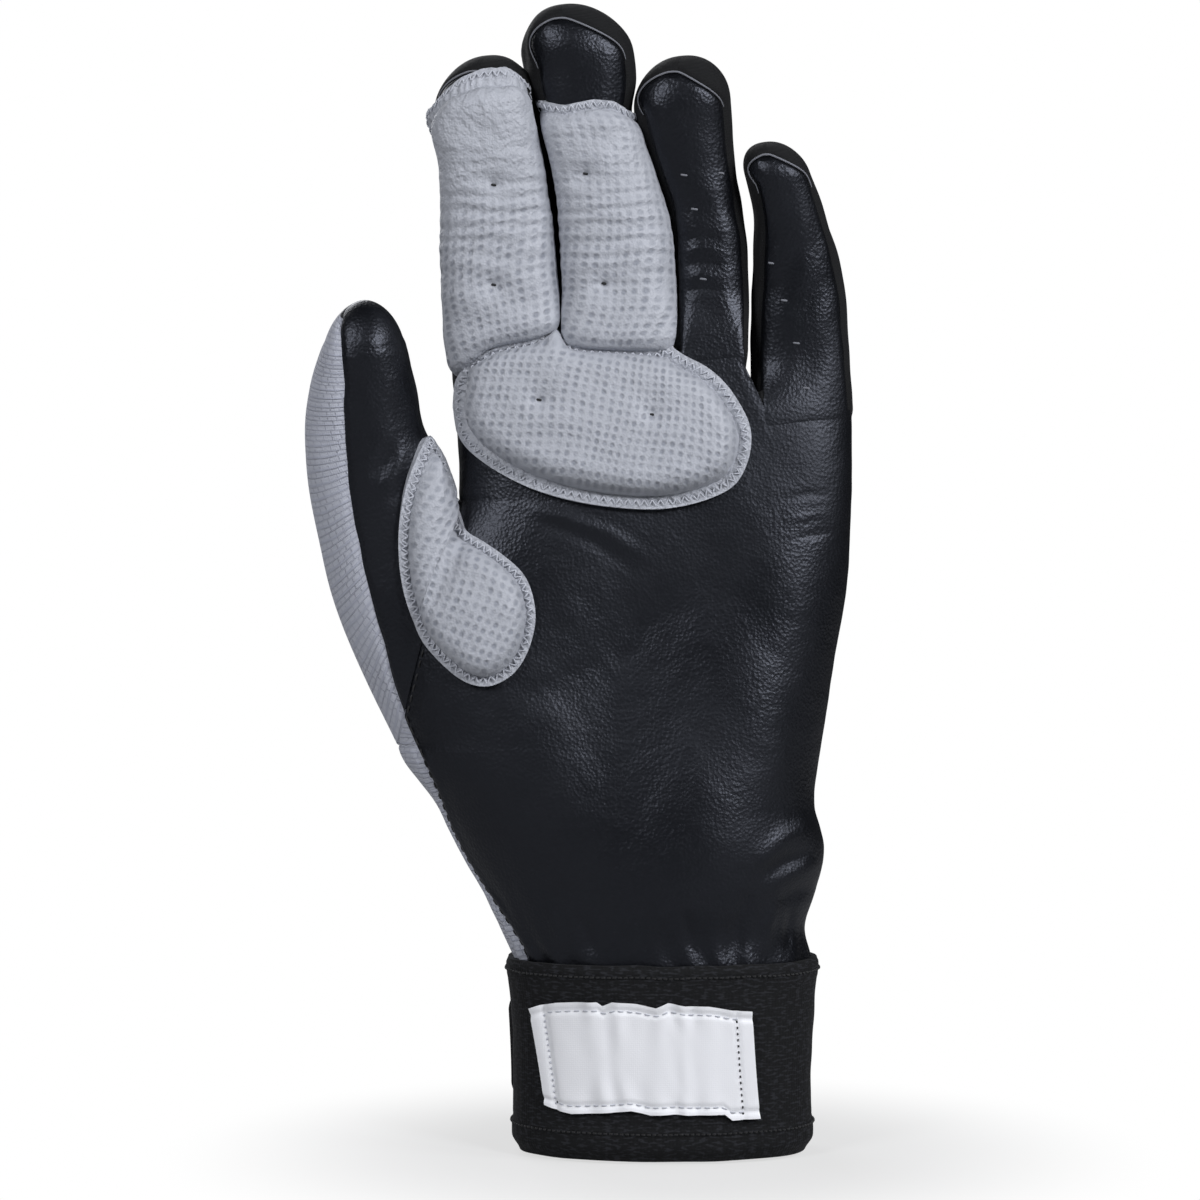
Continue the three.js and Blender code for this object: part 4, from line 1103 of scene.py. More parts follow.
class Body(str, Enum):
    """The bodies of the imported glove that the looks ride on."""

    HAND = "hand"
    INDEX = "index"
    MIDDLE = "middle"
    RING = "ring"
    LITTLE = "little"
    THUMB = "thumb"
    STRAP = "strap"


Bend = tuple[Body, Array, Array]


@dataclass
class Relief:
    """Depth of the glove's front under each measured spot, gathered from all of its forms."""

    low: tuple[float, float] = (-85.0, 0.0)
    high: tuple[float, float] = (50.0, 255.0)
    cell: float = 0.5
    nothing: float = 99.0

    def __post_init__(self) -> None:
        """Starts with nothing under any spot."""
        shape = [int((b - a) / self.cell) + 1 for a, b in zip(self.low, self.high)]
        self.depth = np.full(shape, self.nothing)

    def gather(self, points: Array) -> None:
        """Takes in places of a surface."""
        x, z = SIGHT.seen(points)
        i = np.round((x - self.low[0]) / self.cell).astype(int).ravel()
        j = np.round((z - self.low[1]) / self.cell).astype(int).ravel()
        inside = (i >= 0) & (j >= 0) & (i < self.depth.shape[0]) & (j < self.depth.shape[1])
        np.minimum.at(self.depth, (i[inside], j[inside]), points[..., 1].ravel()[inside])

    def settle(self, rounds: int) -> None:
        """Fills spots with nothing under them and evens the depths out."""
        known = self.depth < self.nothing
        depth = np.where(known, self.depth, 0.0)
        weight = known.astype(float)
        for _ in range(rounds):
            for axis in (0, 1):
                depth = depth + 0.5 * (np.roll(depth, 1, axis) + np.roll(depth, -1, axis))
                weight = weight + 0.5 * (np.roll(weight, 1, axis) + np.roll(weight, -1, axis))
            scale = np.maximum(weight, 1e-12)
            depth, weight = depth / scale, (weight > 1e-9).astype(float)
        self.depth = depth

    def under(self, x: Array, z: Array) -> Array:
        """The places seen at measured spots."""
        i = np.clip((x - self.low[0]) / self.cell, 0, self.depth.shape[0] - 1.001)
        j = np.clip((z - self.low[1]) / self.cell, 0, self.depth.shape[1] - 1.001)
        a, b = i.astype(int), j.astype(int)
        u, v = i - a, j - b
        y = (
            self.depth[a, b] * (1 - u) * (1 - v)
            + self.depth[a + 1, b] * u * (1 - v)
            + self.depth[a, b + 1] * (1 - u) * v
            + self.depth[a + 1, b + 1] * u * v
        )
        true_x, true_z = SIGHT.place(x, z, y)
        return np.stack([true_x, y, true_z], -1)

    def normals(self, x: Array, z: Array, step: float = 0.8) -> Array:
        """Outward directions at measured spots."""
        across = self.under(x + step, z) - self.under(x - step, z)
        up = self.under(x, z + step) - self.under(x, z - step)
        return unit(np.cross(across, up))


# The pieces of the glove


def finish_piece(
    piece: Piece, wardrobe: Wardrobe, nodes: Sequence[str], body: Body,
    bend: Optional[Bend] = None,
) -> bpy.types.Object:
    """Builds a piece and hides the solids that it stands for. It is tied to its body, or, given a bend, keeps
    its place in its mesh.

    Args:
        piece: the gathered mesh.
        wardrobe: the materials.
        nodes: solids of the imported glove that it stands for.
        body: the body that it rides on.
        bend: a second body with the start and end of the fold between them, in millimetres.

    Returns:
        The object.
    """
    made = piece.build(wardrobe)
    if bend is None:
        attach(made, body.value)
    else:
        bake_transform(made)
    if nodes:
        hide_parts(*nodes)
    log.info("built %s: %d faces", piece.name, len(made.data.polygons))
    return made


@dataclass
class HandShell:
    """The palm leather, the knitted back with its grey strip, and the webs between the fingers."""

    form: HandForm
    wardrobe: Wardrobe
    rows: int = 230
    columns: int = 170
    strip_columns: int = 14
    tucked: float = 5.0
    leather: float = 1.2
    knit: float = 1.1
    gather_depth: float = 0.34
    gather_count: int = 23
    gather_height: float = 6.0
    web_columns: int = 9
    web_rows: int = 41
    web_rise: float = 2.5
    web_sag: float = 1.2
    web_overlap: float = 1.8
    web_thickness: float = 1.0
    sink_reach: float = 5.0
    top_sink: float = 0.16
    fold_sink: float = 0.3
    seam_groove: float = 0.55
    seam_ridge: float = 0.3
    broad_unevenness: float = 0.2
    fine_unevenness: float = 0.05
    stitch_pitch: float = 2.6
    stitch_half: float = 0.85
    thread_radius: float = 0.2
    creases: tuple[Crease, ...] = (
        # The ridge below the palm pad, with the hollow under it
        Crease(((-29.0, 137.6), (-21.5, 135.4), (-11.8, 132.0), (-2.4, 126.4)), 1.5, 0.5),
        Crease(((-25.8, 134.6), (-15.0, 130.3), (-4.3, 122.8)), 1.6, -0.3),
        # The folds of the wrist's outer side
        Crease(((20.9, 60.2), (26.9, 66.2), (32.7, 69.7)), 2.4, 0.9),
        Crease(((20.9, 57.6), (27.9, 61.1), (33.3, 63.6)), 1.6, -0.7),
        Crease(((23.2, 55.5), (29.0, 58.9), (34.0, 61.1)), 2.0, 0.7),
        Crease(((25.8, 52.5), (30.1, 54.6), (33.3, 55.9)), 1.6, -0.7),
        # Fine lines of the outer edge below the little finger
        Crease(((25.8, 138.9), (31.8, 140.2), (37.0, 139.8)), 0.9, -0.2),
        Crease(((27.1, 134.6), (34.0, 135.9), (37.0, 136.3)), 0.9, 0.16),
        Crease(((27.5, 130.3), (34.4, 131.8), (38.3, 132.4)), 0.9, -0.16),
        # The palm's two broad hollows
        Crease(((8.6, 119.5), (-4.3, 112.0), (-15.0, 100.2)), 5.5, -0.7),
        Crease(((-34.4, 95.9), (-21.5, 98.0), (-10.8, 104.5)), 4.0, -0.5),
        # Gathers above the cuff
        Crease(((-4.3, 40.6), (-3.9, 46.4), (-2.1, 52.9)), 1.4, -0.6),
        Crease(((6.5, 40.6), (6.5, 45.4), (5.2, 50.3)), 1.3, -0.6),
        Crease(((16.1, 40.6), (17.0, 47.5), (19.8, 55.0)), 1.8, -0.8),
        Crease(((22.6, 41.1), (23.2, 47.5), (25.4, 53.3)), 1.5, 0.7),
        Crease(((27.5, 41.1), (27.7, 45.4), (28.4, 51.8)), 1.2, -0.7),
        Crease(((-15.0, 40.6), (-15.5, 45.4), (-17.2, 49.7)), 1.6, -0.5),
        Crease(((-21.5, 40.9), (-22.4, 46.4), (-24.1, 51.8)), 1.4, 0.4),
    )

    def seam(self, z: Array) -> Array:
        """The turn of the seam between leather and knit on the thumb's side, at heights."""
        edge = np.minimum(self.form.section(z)["start"], 180.0)
        turns = np.minimum(seam_turns(self.form.at, z, 100.0, edge), edge)
        return np.where(z > self.form.high, 180.0, turns)

    def surface(self, z: Array, degrees: Array, top: Array) -> Array:
        """Places of the hand with its folds and unevenness, which end below the top edge's height."""
        base = self.form.at(z, degrees)
        normals = surface_normals(self.form.at, z, degrees, 0.4, 0.6, base * [1, 1, 0])
        x, height = SIGHT.seen(base)
        front = smooth(2.0, -4.0, base[..., 1])
        lift = sum(crease.lift(x, height) for crease in self.creases) * front
        lift = lift + self.broad_unevenness * ripple(base[..., 0] + base[..., 1], z, 26, 3)
        lift = lift + self.fine_unevenness * ripple(base[..., 0], z, 6, 4)
        ends = smooth(self.form.cuff_height - 1, self.form.cuff_height + 5, z) * smooth(0, 10, top)
        angle = np.radians(degrees)
        gather = self.gather_depth * np.sin(angle * self.gather_count + 2 * np.sin(angle * 5))
        gather = gather * np.exp(-np.maximum(z - self.form.cuff_height, 0) / self.gather_height)
        gather = gather * smooth(self.form.cuff_height - 3, self.form.cuff_height + 1, z)
        return base + normals * (lift * ends + gather)[..., None]

    def top_edge(self, turns: Array, widths: Sequence[int]) -> Array:
        """Height of a panel's top edge, which follows the fingers' folds.

        Args:
            turns: the columns' turns there.
            widths: over how many columns the edge is evened out, time after time.

        Returns:
            One height for each column.
        """
        section = self.form.section(np.array(self.form.cuff_height + self.form.hand_height))
        power = float(section["power"])
        c, s = np.cos(np.radians(turns)), np.sin(np.radians(turns))
        reach = (np.abs(c) ** power + np.abs(s) ** power) ** (-1 / power)
        stops = float(section["centre"]) + float(section["half"]) * reach * c
        height = np.zeros_like(stops)
        folds = self.form.folds
        for k, fold in enumerate(folds):
            left = -99 if k == 0 else (folds[k - 1].right + fold.left) / 2
            right = 99 if k == len(folds) - 1 else (fold.right + folds[k + 1].left) / 2
            inside = (stops >= left) & (stops < right)
            held = np.clip(stops, fold.left - 1, fold.right + 1)
            height = np.where(inside, self.form.fold_height(fold, held), height)
        height = height - self.form.fold_gap / 2
        for width in widths:
            height = evened(height, width)
        return height

    def panel(self, back: bool) -> Piece:
        """One of the hand's two panels.

        Args:
            back: whether it is the knitted back.

        Returns:
            The gathered mesh.
        """
        form = self.form
        spread = np.linspace(0, 1, self.columns)
        last = 360 - form.ulnar_wrap if back else -form.ulnar_wrap
        even = self.top_edge(180 + (last - 180) * spread, (21, 15, 11) if back else (7,))
        low = form.cuff_height - self.tucked
        rows = np.linspace(0, 1, self.rows) ** 0.92
        heights = low + (even[None, :] - low) * rows[:, None]
        edge_heights = heights[:, 0]
        edge = np.minimum(form.section(edge_heights)["start"], 180.0)
        if back:
            inset = math.degrees(form.seam_gap * 0.2 / 15)
            turns = self.spread(360 - edge + inset, spread, last - inset)
        else:
            seam = self.seam(edge_heights)
            turns = self.spread(seam, spread, last)
            share = np.linspace(0, 1, self.strip_columns, endpoint=False)
            turns = np.concatenate([edge[:, None] + (seam - edge)[:, None] * share, turns], axis=1)
            heights = np.concatenate([np.repeat(heights[:, :1], self.strip_columns, axis=1), heights], axis=1)
        top = np.concatenate([np.repeat(even[:1], heights.shape[1] - self.columns), even])[None, :] - heights
        outer = self.surface(heights, turns, top)
        gone = gone_along(outer, 1)
        normals = unit(np.cross(np.gradient(outer, axis=1), np.gradient(outer, axis=0)))
        if np.sum(normals[:, -self.columns // 2, 1]) * (1 if back else -1) < 0:
            normals = -normals
        outer = outer - normals * (self.top_sink * smooth(self.sink_reach, 0, top))[..., None]
        first = 0 if back else self.strip_columns
        away = np.abs(gone - gone[:, first : first + 1])
        fold = smooth(form.low - 3, form.low + 1, edge_heights)
        fold = fold * smooth(form.high + 2, form.high - 2, edge_heights)
        sewn = smooth(form.low, form.low + 4, edge_heights) if back else 1 - fold
        if not back:
            sunk = self.fold_sink * smooth(self.sink_reach, 0, away) * fold[:, None]
            outer = outer - normals * sunk[..., None]
        rise = -self.seam_groove * bell(away, 0.7) + self.seam_ridge * bell(away - 1.8, 1.1)
        outer = outer + normals * (rise * sewn[:, None])[..., None]
        name, finish = ("back_knit", "grey_mesh") if back else ("palm_leather", "black_leather")
        piece = Piece(name, [finish, "black_thread", "grey_mesh"])
        cut = np.stack([-gone if back else gone, heights], -1)
        piece.sheet(outer, normals, cut, self.knit if back else self.leather)
        if not back:
            strip = (np.arange(outer.shape[1] - 1) < first) & (edge_heights[:-1, None] < form.low + 8)
            piece.slots[-1][: 2 * strip.size] = np.tile(np.where(strip, 2, 0).ravel(), 2)
            self.stitch(piece, outer[:, first:], normals[:, first:])
        return piece

    @staticmethod
    def spread(first: Array, share: Array, last: float) -> Array:
        """Spreads columns from each row's first turn to the last one, evenly but for those near the first.

        Args:
            first: each row's first turn.
            share: the columns' places from 0 to 1.
            last: the last turn.

        Returns:
            The turn of each column in each row.
        """
        moved = (first - 180)[:, None] * np.maximum(1 - share / 0.6, 0)[None, :] ** 1.5
        return 180 + (last - 180) * share[None, :] + moved

    def stitch(self, piece: Piece, outer: Array, normals: Array) -> None:
        """Sews small black stitches along the leather's edge beside the grey strip."""
        edge = outer[:, 2]
        gone = gone_along(edge)
        where = np.searchsorted(gone, np.arange(1.2, gone[-1], self.stitch_pitch)).clip(1, len(edge) - 1)
        ahead = unit(edge[np.minimum(where + 1, len(edge) - 1)] - edge[where - 1]) * self.stitch_half
        out = normals[where, 2]
        starts, ends = edge[where] - ahead + out * 0.1, edge[where] + ahead + out * 0.1
        piece.threads(starts, ends, out, self.thread_radius, 1)

    def webs(self) -> list[Piece]:
        """Soft saddles of jersey that close the crotches between the fingers."""
        form = self.form
        pieces = []
        names = ("index_middle", "middle_ring", "ring_little")
        for name, left, right in zip(names, form.folds[:-1], form.folds[1:]):
            x = (left.right + right.left) / 2
            short, tall = sorted((form.fold_height(left, x), form.fold_height(right, x)))
            across = np.linspace(-1, 1, self.web_columns)
            turns = np.linspace(0, 1, self.web_rows)
            depth = -form.front(np.array(x), np.array(short - 2))
            y = -(depth - 1.4) * np.cos(turns * math.pi)
            lift = self.web_rise * np.sin(turns * math.pi) ** 0.7
            sag = across**2 * self.web_sag
            z = mix(short - 4, max(short + 1, tall - 4), 0.5) + lift[:, None] + sag[None, :]
            width = form.finger_gap / 2 + self.web_overlap
            points = np.stack(np.broadcast_arrays(x + across[None, :] * width, y[:, None], z), -1)
            normals = np.broadcast_to(UP, points.shape)
            cut = np.stack(np.broadcast_arrays(across[None, :] * width, y[:, None]), -1)
            piece = Piece(f"{name}_crotch", ["black_jersey"])
            piece.sheet(points, normals, cut, self.web_thickness)
            pieces.append(piece)
        return pieces

    def build(self) -> None:
        """Builds the hand's panels and webs."""
        finish_piece(self.panel(False), self.wardrobe, ["palm_panel"], Body.HAND)
        finish_piece(self.panel(True), self.wardrobe, ["back_panel"], Body.HAND)
        for piece, node in zip(self.webs(), ("index_middle_web", "middle_ring_web", "ring_little_web")):
            finish_piece(piece, self.wardrobe, [node], Body.HAND)


@dataclass
class DigitShell:
    """A finger or thumb: a leather front, side strips and a back that wraps over the tip."""

    name: str
    form: DigitForm
    hand: HandForm
    wardrobe: Wardrobe
    back_finish: str = "black_jersey"
    root: float = 12.0
    rows: int = 130
    cap_rows: int = 44
    part_columns: tuple[int, ...] = (46, 16, 50, 16)
    thickness: float = 1.1
    bend_reach: float = 8.0
    level_length: float = 14.0
    sink_depth: float = 2.0
    groove_width: float = 0.9
    groove_depth: float = 0.55
    bulge_turns: tuple[float, float] = (338.0, 202.0)
    bulge_width: float = 17
    unevenness: float = 0.12
    least_strip: float = 1.2
    last_share: float = 0.985
    front_over_tip: float = 0.965
    edge_share: float = 0.13
    edge_lift: float = 0.42
    edge_radius: float = 0.22
    tack_half: tuple[float, float, float] = (0.75, 0.0, -0.1)
    tack_radius: float = 0.22
    gathers: tuple[Crease, ...] = ()
    tacks: Path = ()
    over_tip: bool = False
    low_bulge: float = 0.0
    high_bulge: float = 0.0

    def bounds(self, s: Array) -> tuple[Array, Array]:
        """The turns of the front piece's two edges."""
        if self.over_tip:
            rows = np.clip(s, 0.0, self.last_share)
            high = seam_turns(self.form.at, rows, 60.0, np.full(len(s), 186.0))
            return self.form.front_centre - self.form.front_half - 24 * smooth(0.05, 0.4, s), evened(high, 7)
        return self.form.front_turns(s)

    def surface(self, s: Array, degrees: Array) -> Array:
        """Places of the shell with its seams and folds, and its root tucked into the hand."""
        base = self.form.at(s, degrees)
        out = self.outward(s, degrees)
        x, z = SIGHT.seen(base)
        front = np.clip(np.sin(np.radians(degrees)) * 2, 0, 1)
        lift = sum((crease.lift(x, z) for crease in self.gathers), np.zeros(base.shape[:-1])) * front
        lift = lift + self.unevenness * ripple(degrees * 0.2, s * self.form.length, 9, len(self.name) + 5)
        for middle, bulge in zip(self.bulge_turns, (self.low_bulge, self.high_bulge)):
            lift = lift + bulge * bell((degrees - middle + 180) % 360 - 180, self.bulge_width)
        taper = smooth(-0.02, 0.1, s) * (1 - smooth(0.86, 0.97, s))
        return base + out * (lift * taper)[..., None]

    def outward(self, s: Array, degrees: Array) -> Array:
        """Outward directions of the plain form."""
        safe = np.clip(s, -0.2, self.last_share)
        away = self.form.at(safe, degrees) - self.form.centre(safe)
        return surface_normals(self.form.at, safe, degrees, 0.004, 1, away)

    def grid(self) -> tuple[Array, Array, Array]:
        """Rows along the digit and turns around it, with the parts' edges on grid lines.

        Returns:
            The rows' places, the turns of each row, and the first columns of the four parts.
        """
        form = self.form
        length = form.length
        body = np.linspace(-self.root / length, form.cap_share, self.rows)
        cap = np.sin(np.linspace(0, 1, self.cap_rows)[1:] * math.pi / 2)
        cap = form.cap_share + (1 - form.cap_share) * cap
        cap[np.argmin(np.abs(cap - form.arch))] = form.arch
        s = np.concatenate([body, cap])
        low, high = self.bounds(s)
        narrower = 1 - 0.94 * smooth(0, 0.8, s)
        low_back = low - np.maximum(form.low_strip * narrower, self.least_strip)
        high_back = high + np.maximum(form.high_strip * narrower, self.least_strip)
        edges = (low, high, high_back, low_back + 360, low + 360)
        parts = [
            mix(a[:, None], b[:, None], np.linspace(0, 1, n, endpoint=False)[None, :])
            for a, b, n in zip(edges[:-1], edges[1:], self.part_columns)
        ]
        turns = np.concatenate([*parts, (low + 360)[:, None]], axis=1)
        return s, turns, np.concatenate([[0], np.cumsum(self.part_columns)])

    def tuck(self, points: Array, s: Array, degrees: Array) -> Array:
        """Brings the root level with the hand's front and sinks what lies under the hand.

        Args:
            points: the shell's places.
            s: their places along the digit.
            degrees: their turns.

        Returns:
            The places, moved.
        """
        along = s * self.form.length
        facing = smooth(0.15, 0.7, np.sin(np.radians(degrees)))
        level = 1 - smooth(0.0, self.level_length, along)
        limit = self.hand.cuff_height + self.hand.hand_height - 0.5
        held = np.minimum(points[..., 2], limit)
        target = self.hand.front(points[..., 0], held) + mix(0.4, -0.02, smooth(-9.0, -0.5, along))
        y = mix(points[..., 1], target, facing * level * (0 if self.over_tip else 1))
        sunk = mix(smooth(0.2, -4.5, along), smooth(-1.0, -9.5, along), facing) * self.sink_depth
        out = np.stack([points[..., 0], y, points[..., 2]], -1)
        middle = self.form.centre(np.minimum(s, 0.0))
        return out - unit(points - middle) * sunk[..., None]

    def build(self, nodes: Sequence[str], body: Body) -> None:
        """Builds the digit as one shell, which runs on from its fold into the hand.

        Args:
            nodes: the solids that it stands for.
            body: the digit's body.
        """
        form = self.form
        s, turns, parts = self.grid()
        rows = np.broadcast_to(s[:, None], turns.shape)
        arch = int(np.argmin(np.abs(s - form.arch)))
        outer = self.tuck(self.surface(rows, turns), rows, turns)
        outer[-1] = form.centre(np.array(1.0))
        outer[:, -1] = outer[:, 0]
        normals = self.outward(rows, turns)
        normals[-1] = unit(normals[-2].mean(axis=0))
        seams = self.seam_distance(outer, parts, arch)
        groove = -self.groove_depth * bell(seams, self.groove_width) * smooth(-0.1, 0.02, rows)
        outer = outer + normals * (groove * (1 - smooth(0.97, 1, rows)))[..., None]
        cut = np.stack([gone_along(outer, 1), rows * form.length], -1)
        piece = Piece(f"{self.name}_shell", ["black_leather", self.back_finish, "black_jersey", "cut_edge"])
        piece.sheet(outer, normals, cut, self.thickness, closed=True)
        self.paint(piece, s, parts, turns.shape)
        if not self.over_tip:
            start = int(np.argmin(np.abs(s - (form.arch - self.edge_share))))
            self.edge(piece, outer, normals, (start, arch), parts[1])
        self.tack(piece, outer, normals)
        bend = (body, *form.bend_places(-self.root, self.bend_reach))
        finish_piece(piece, self.wardrobe, nodes, Body.HAND, bend)

    def seam_distance(self, outer: Array, parts: Array, arch: int) -> Array:
        """Distance of each place from the nearest seam of the front piece, which ends at the arch's row."""
        low, high = (np.linalg.norm(outer - outer[:, column, None], axis=2) for column in (0, parts[1]))
        if self.over_tip:
            return high
        rows = np.arange(len(outer))
        away = np.where((rows > arch)[:, None], 99.0, np.minimum(low, high))
        path = outer[arch, : parts[1] + 1][::3]
        near = np.abs(rows - arch) < 14
        gap = np.linalg.norm(outer[near][:, :, None] - path[None, None], axis=3).min(axis=2)
        away[near] = np.minimum(away[near], gap)
        return away

    def paint(self, piece: Piece, s: Array, parts: Array, shape: tuple[int, int]) -> None:
        """Gives the faces of the shell their materials."""
        rows, columns = shape[0] - 1, shape[1] - 1
        front, back, strip = 0, 1, 2
        column = np.full(columns, back)
        column[: parts[1]] = front
        if self.form.high_strip:
            column[parts[1] : parts[2]] = strip
        if self.form.low_strip:
            column[parts[3] :] = strip
        grid = np.broadcast_to(column, (rows, columns)).copy()
        if self.over_tip:
            grid[s[1:] > self.front_over_tip] = front
        else:
            grid[(s[:-1] + s[1:]) / 2 > self.form.arch] = back
        piece.slots[-1][: 2 * grid.size] = np.tile(grid.ravel(), 2)

    def edge(self, piece: Piece, outer: Array, normals: Array, ends: tuple[int, int], last: int) -> None:
        """Adds the turned edge of the front piece, with its pale cut line over the arch.

        Args:
            piece: the gathered mesh.
            outer: places of the shell.
            normals: outward directions.
            ends: the row where the edge starts and the arch's row.
            last: the front piece's last column.
        """
        arch, rows, count = ends[1], slice(*ends), 120
        places, lifts = (
            np.concatenate([of[rows, 0], of[arch, : last + 1], of[rows, last][::-1]])
            for of in (outer, normals)
        )
        path = round_path(places + lifts * self.edge_lift, count, softness=1)
        for _ in range(6):
            path[1:-1] = (path[:-2] + 2 * path[1:-1] + path[2:]) / 4
        fade = np.sin(np.linspace(0.03, 0.97, count) * math.pi) ** 0.4
        piece.cord(path, unit(round_path(lifts, count, softness=1)), self.edge_radius * fade, 3)

    def tack(self, piece: Piece, outer: Array, normals: Array) -> None:
        """Adds the short tack stitches that hold the lining."""
        if not self.tacks:
            return
        x, z = SIGHT.seen(outer)
        behind = np.where(outer[..., 1] > 0, 99, 0)
        where = [np.argmin(np.hypot(x - spot[0], z - spot[1]) + behind) for spot in self.tacks]
        spots, lifts = outer.reshape(-1, 3)[where], normals.reshape(-1, 3)[where]
        along = np.array(self.tack_half)
        piece.threads(spots - along, spots + along, lifts, self.tack_radius, 3)


@dataclass
class Cushion:
    """A foam pad under grey leather: a stitched flange, a wall and a crowned top."""

    name: str
    wardrobe: Wardrobe
    rise: float = 5.2
    flange: float = 2.6
    shoulder: float = 4.6
    thickness: float = 1.1
    stitch_gap: float = 1.2
    finishes: tuple[str, ...] = ("grey_leather", "grey_thread", "black_thread")
    tufts: Path = ()
    dimples: tuple[tuple[float, float], ...] = ((1.1, 2.6), (0.5, 0.9))
    zigzag_pitch: float = 0.85
    zigzag_sides: tuple[float, float] = (-0.6, 0.75)
    zigzag_lift: float = 0.14
    zigzag_radius: float = 0.16
    tuft_half: tuple[float, float, float] = (0.6, 0.0, -0.12)
    tuft_radius: float = 0.26

    def profile(self, inside: Array) -> Array:
        """Height of the cushion at a distance inside its flange."""
        t = np.clip(inside / self.shoulder, 0, 1)
        crown = 0.35 * smooth(self.shoulder, 14, inside)
        return self.rise * (np.sqrt(1 - (1 - t) ** 2) + crown * 0.25)

    def sink(self, x: Array, z: Array) -> Array:
        """How far the tack stitches pull the cushion in."""
        total = np.zeros(np.shape(x))
        for spot in self.tufts:
            away = np.hypot(x - spot[0], z - spot[1])
            total += sum(depth * bell(away, width) for depth, width in self.dimples)
        return total

    def complete(self, piece: Piece, nodes: Sequence[str], body: Body, bend: Optional[Bend]) -> None:
        """Builds the gathered pad, one solid for its cover and its foam."""
        made = finish_piece(piece, self.wardrobe, nodes, body, bend)

    def edge_stitches(self, piece: Piece, path: Array, inward: Array, normals: Array) -> None:
        """Sews a zigzag in the edge's thread along an edge.

        Args:
            piece: the gathered mesh.
            path: evenly spaced places along the seam.
            inward: directions away from the edge.
            normals: outward directions.
        """
        gone = gone_along(path)
        count = int(gone[-1] / self.zigzag_pitch)
        at = np.linspace(0, gone[-1], count)
        spots, sides, lifts = (
            np.stack([np.interp(at, gone, values[:, k]) for k in range(3)], 1)
            for values in (path, inward, normals)
        )
        sides, lifts = unit(sides), unit(lifts)
        swing = np.array(self.zigzag_sides)[np.arange(count) % 2][:, None]
        ends = spots + sides * swing + lifts * self.zigzag_lift
        slot = self.finishes.index("grey_thread")
        piece.threads(ends[:-1], ends[1:], lifts[:-1], self.zigzag_radius, slot)

    def tuft_stitches(self, piece: Piece, spots: Array, normals: Array) -> None:
        """Puts the dark tack stitches in the dimples."""
        along, slot = np.array(self.tuft_half), self.finishes.index("black_thread")
        piece.threads(spots - along, spots + along, normals, self.tuft_radius, slot)


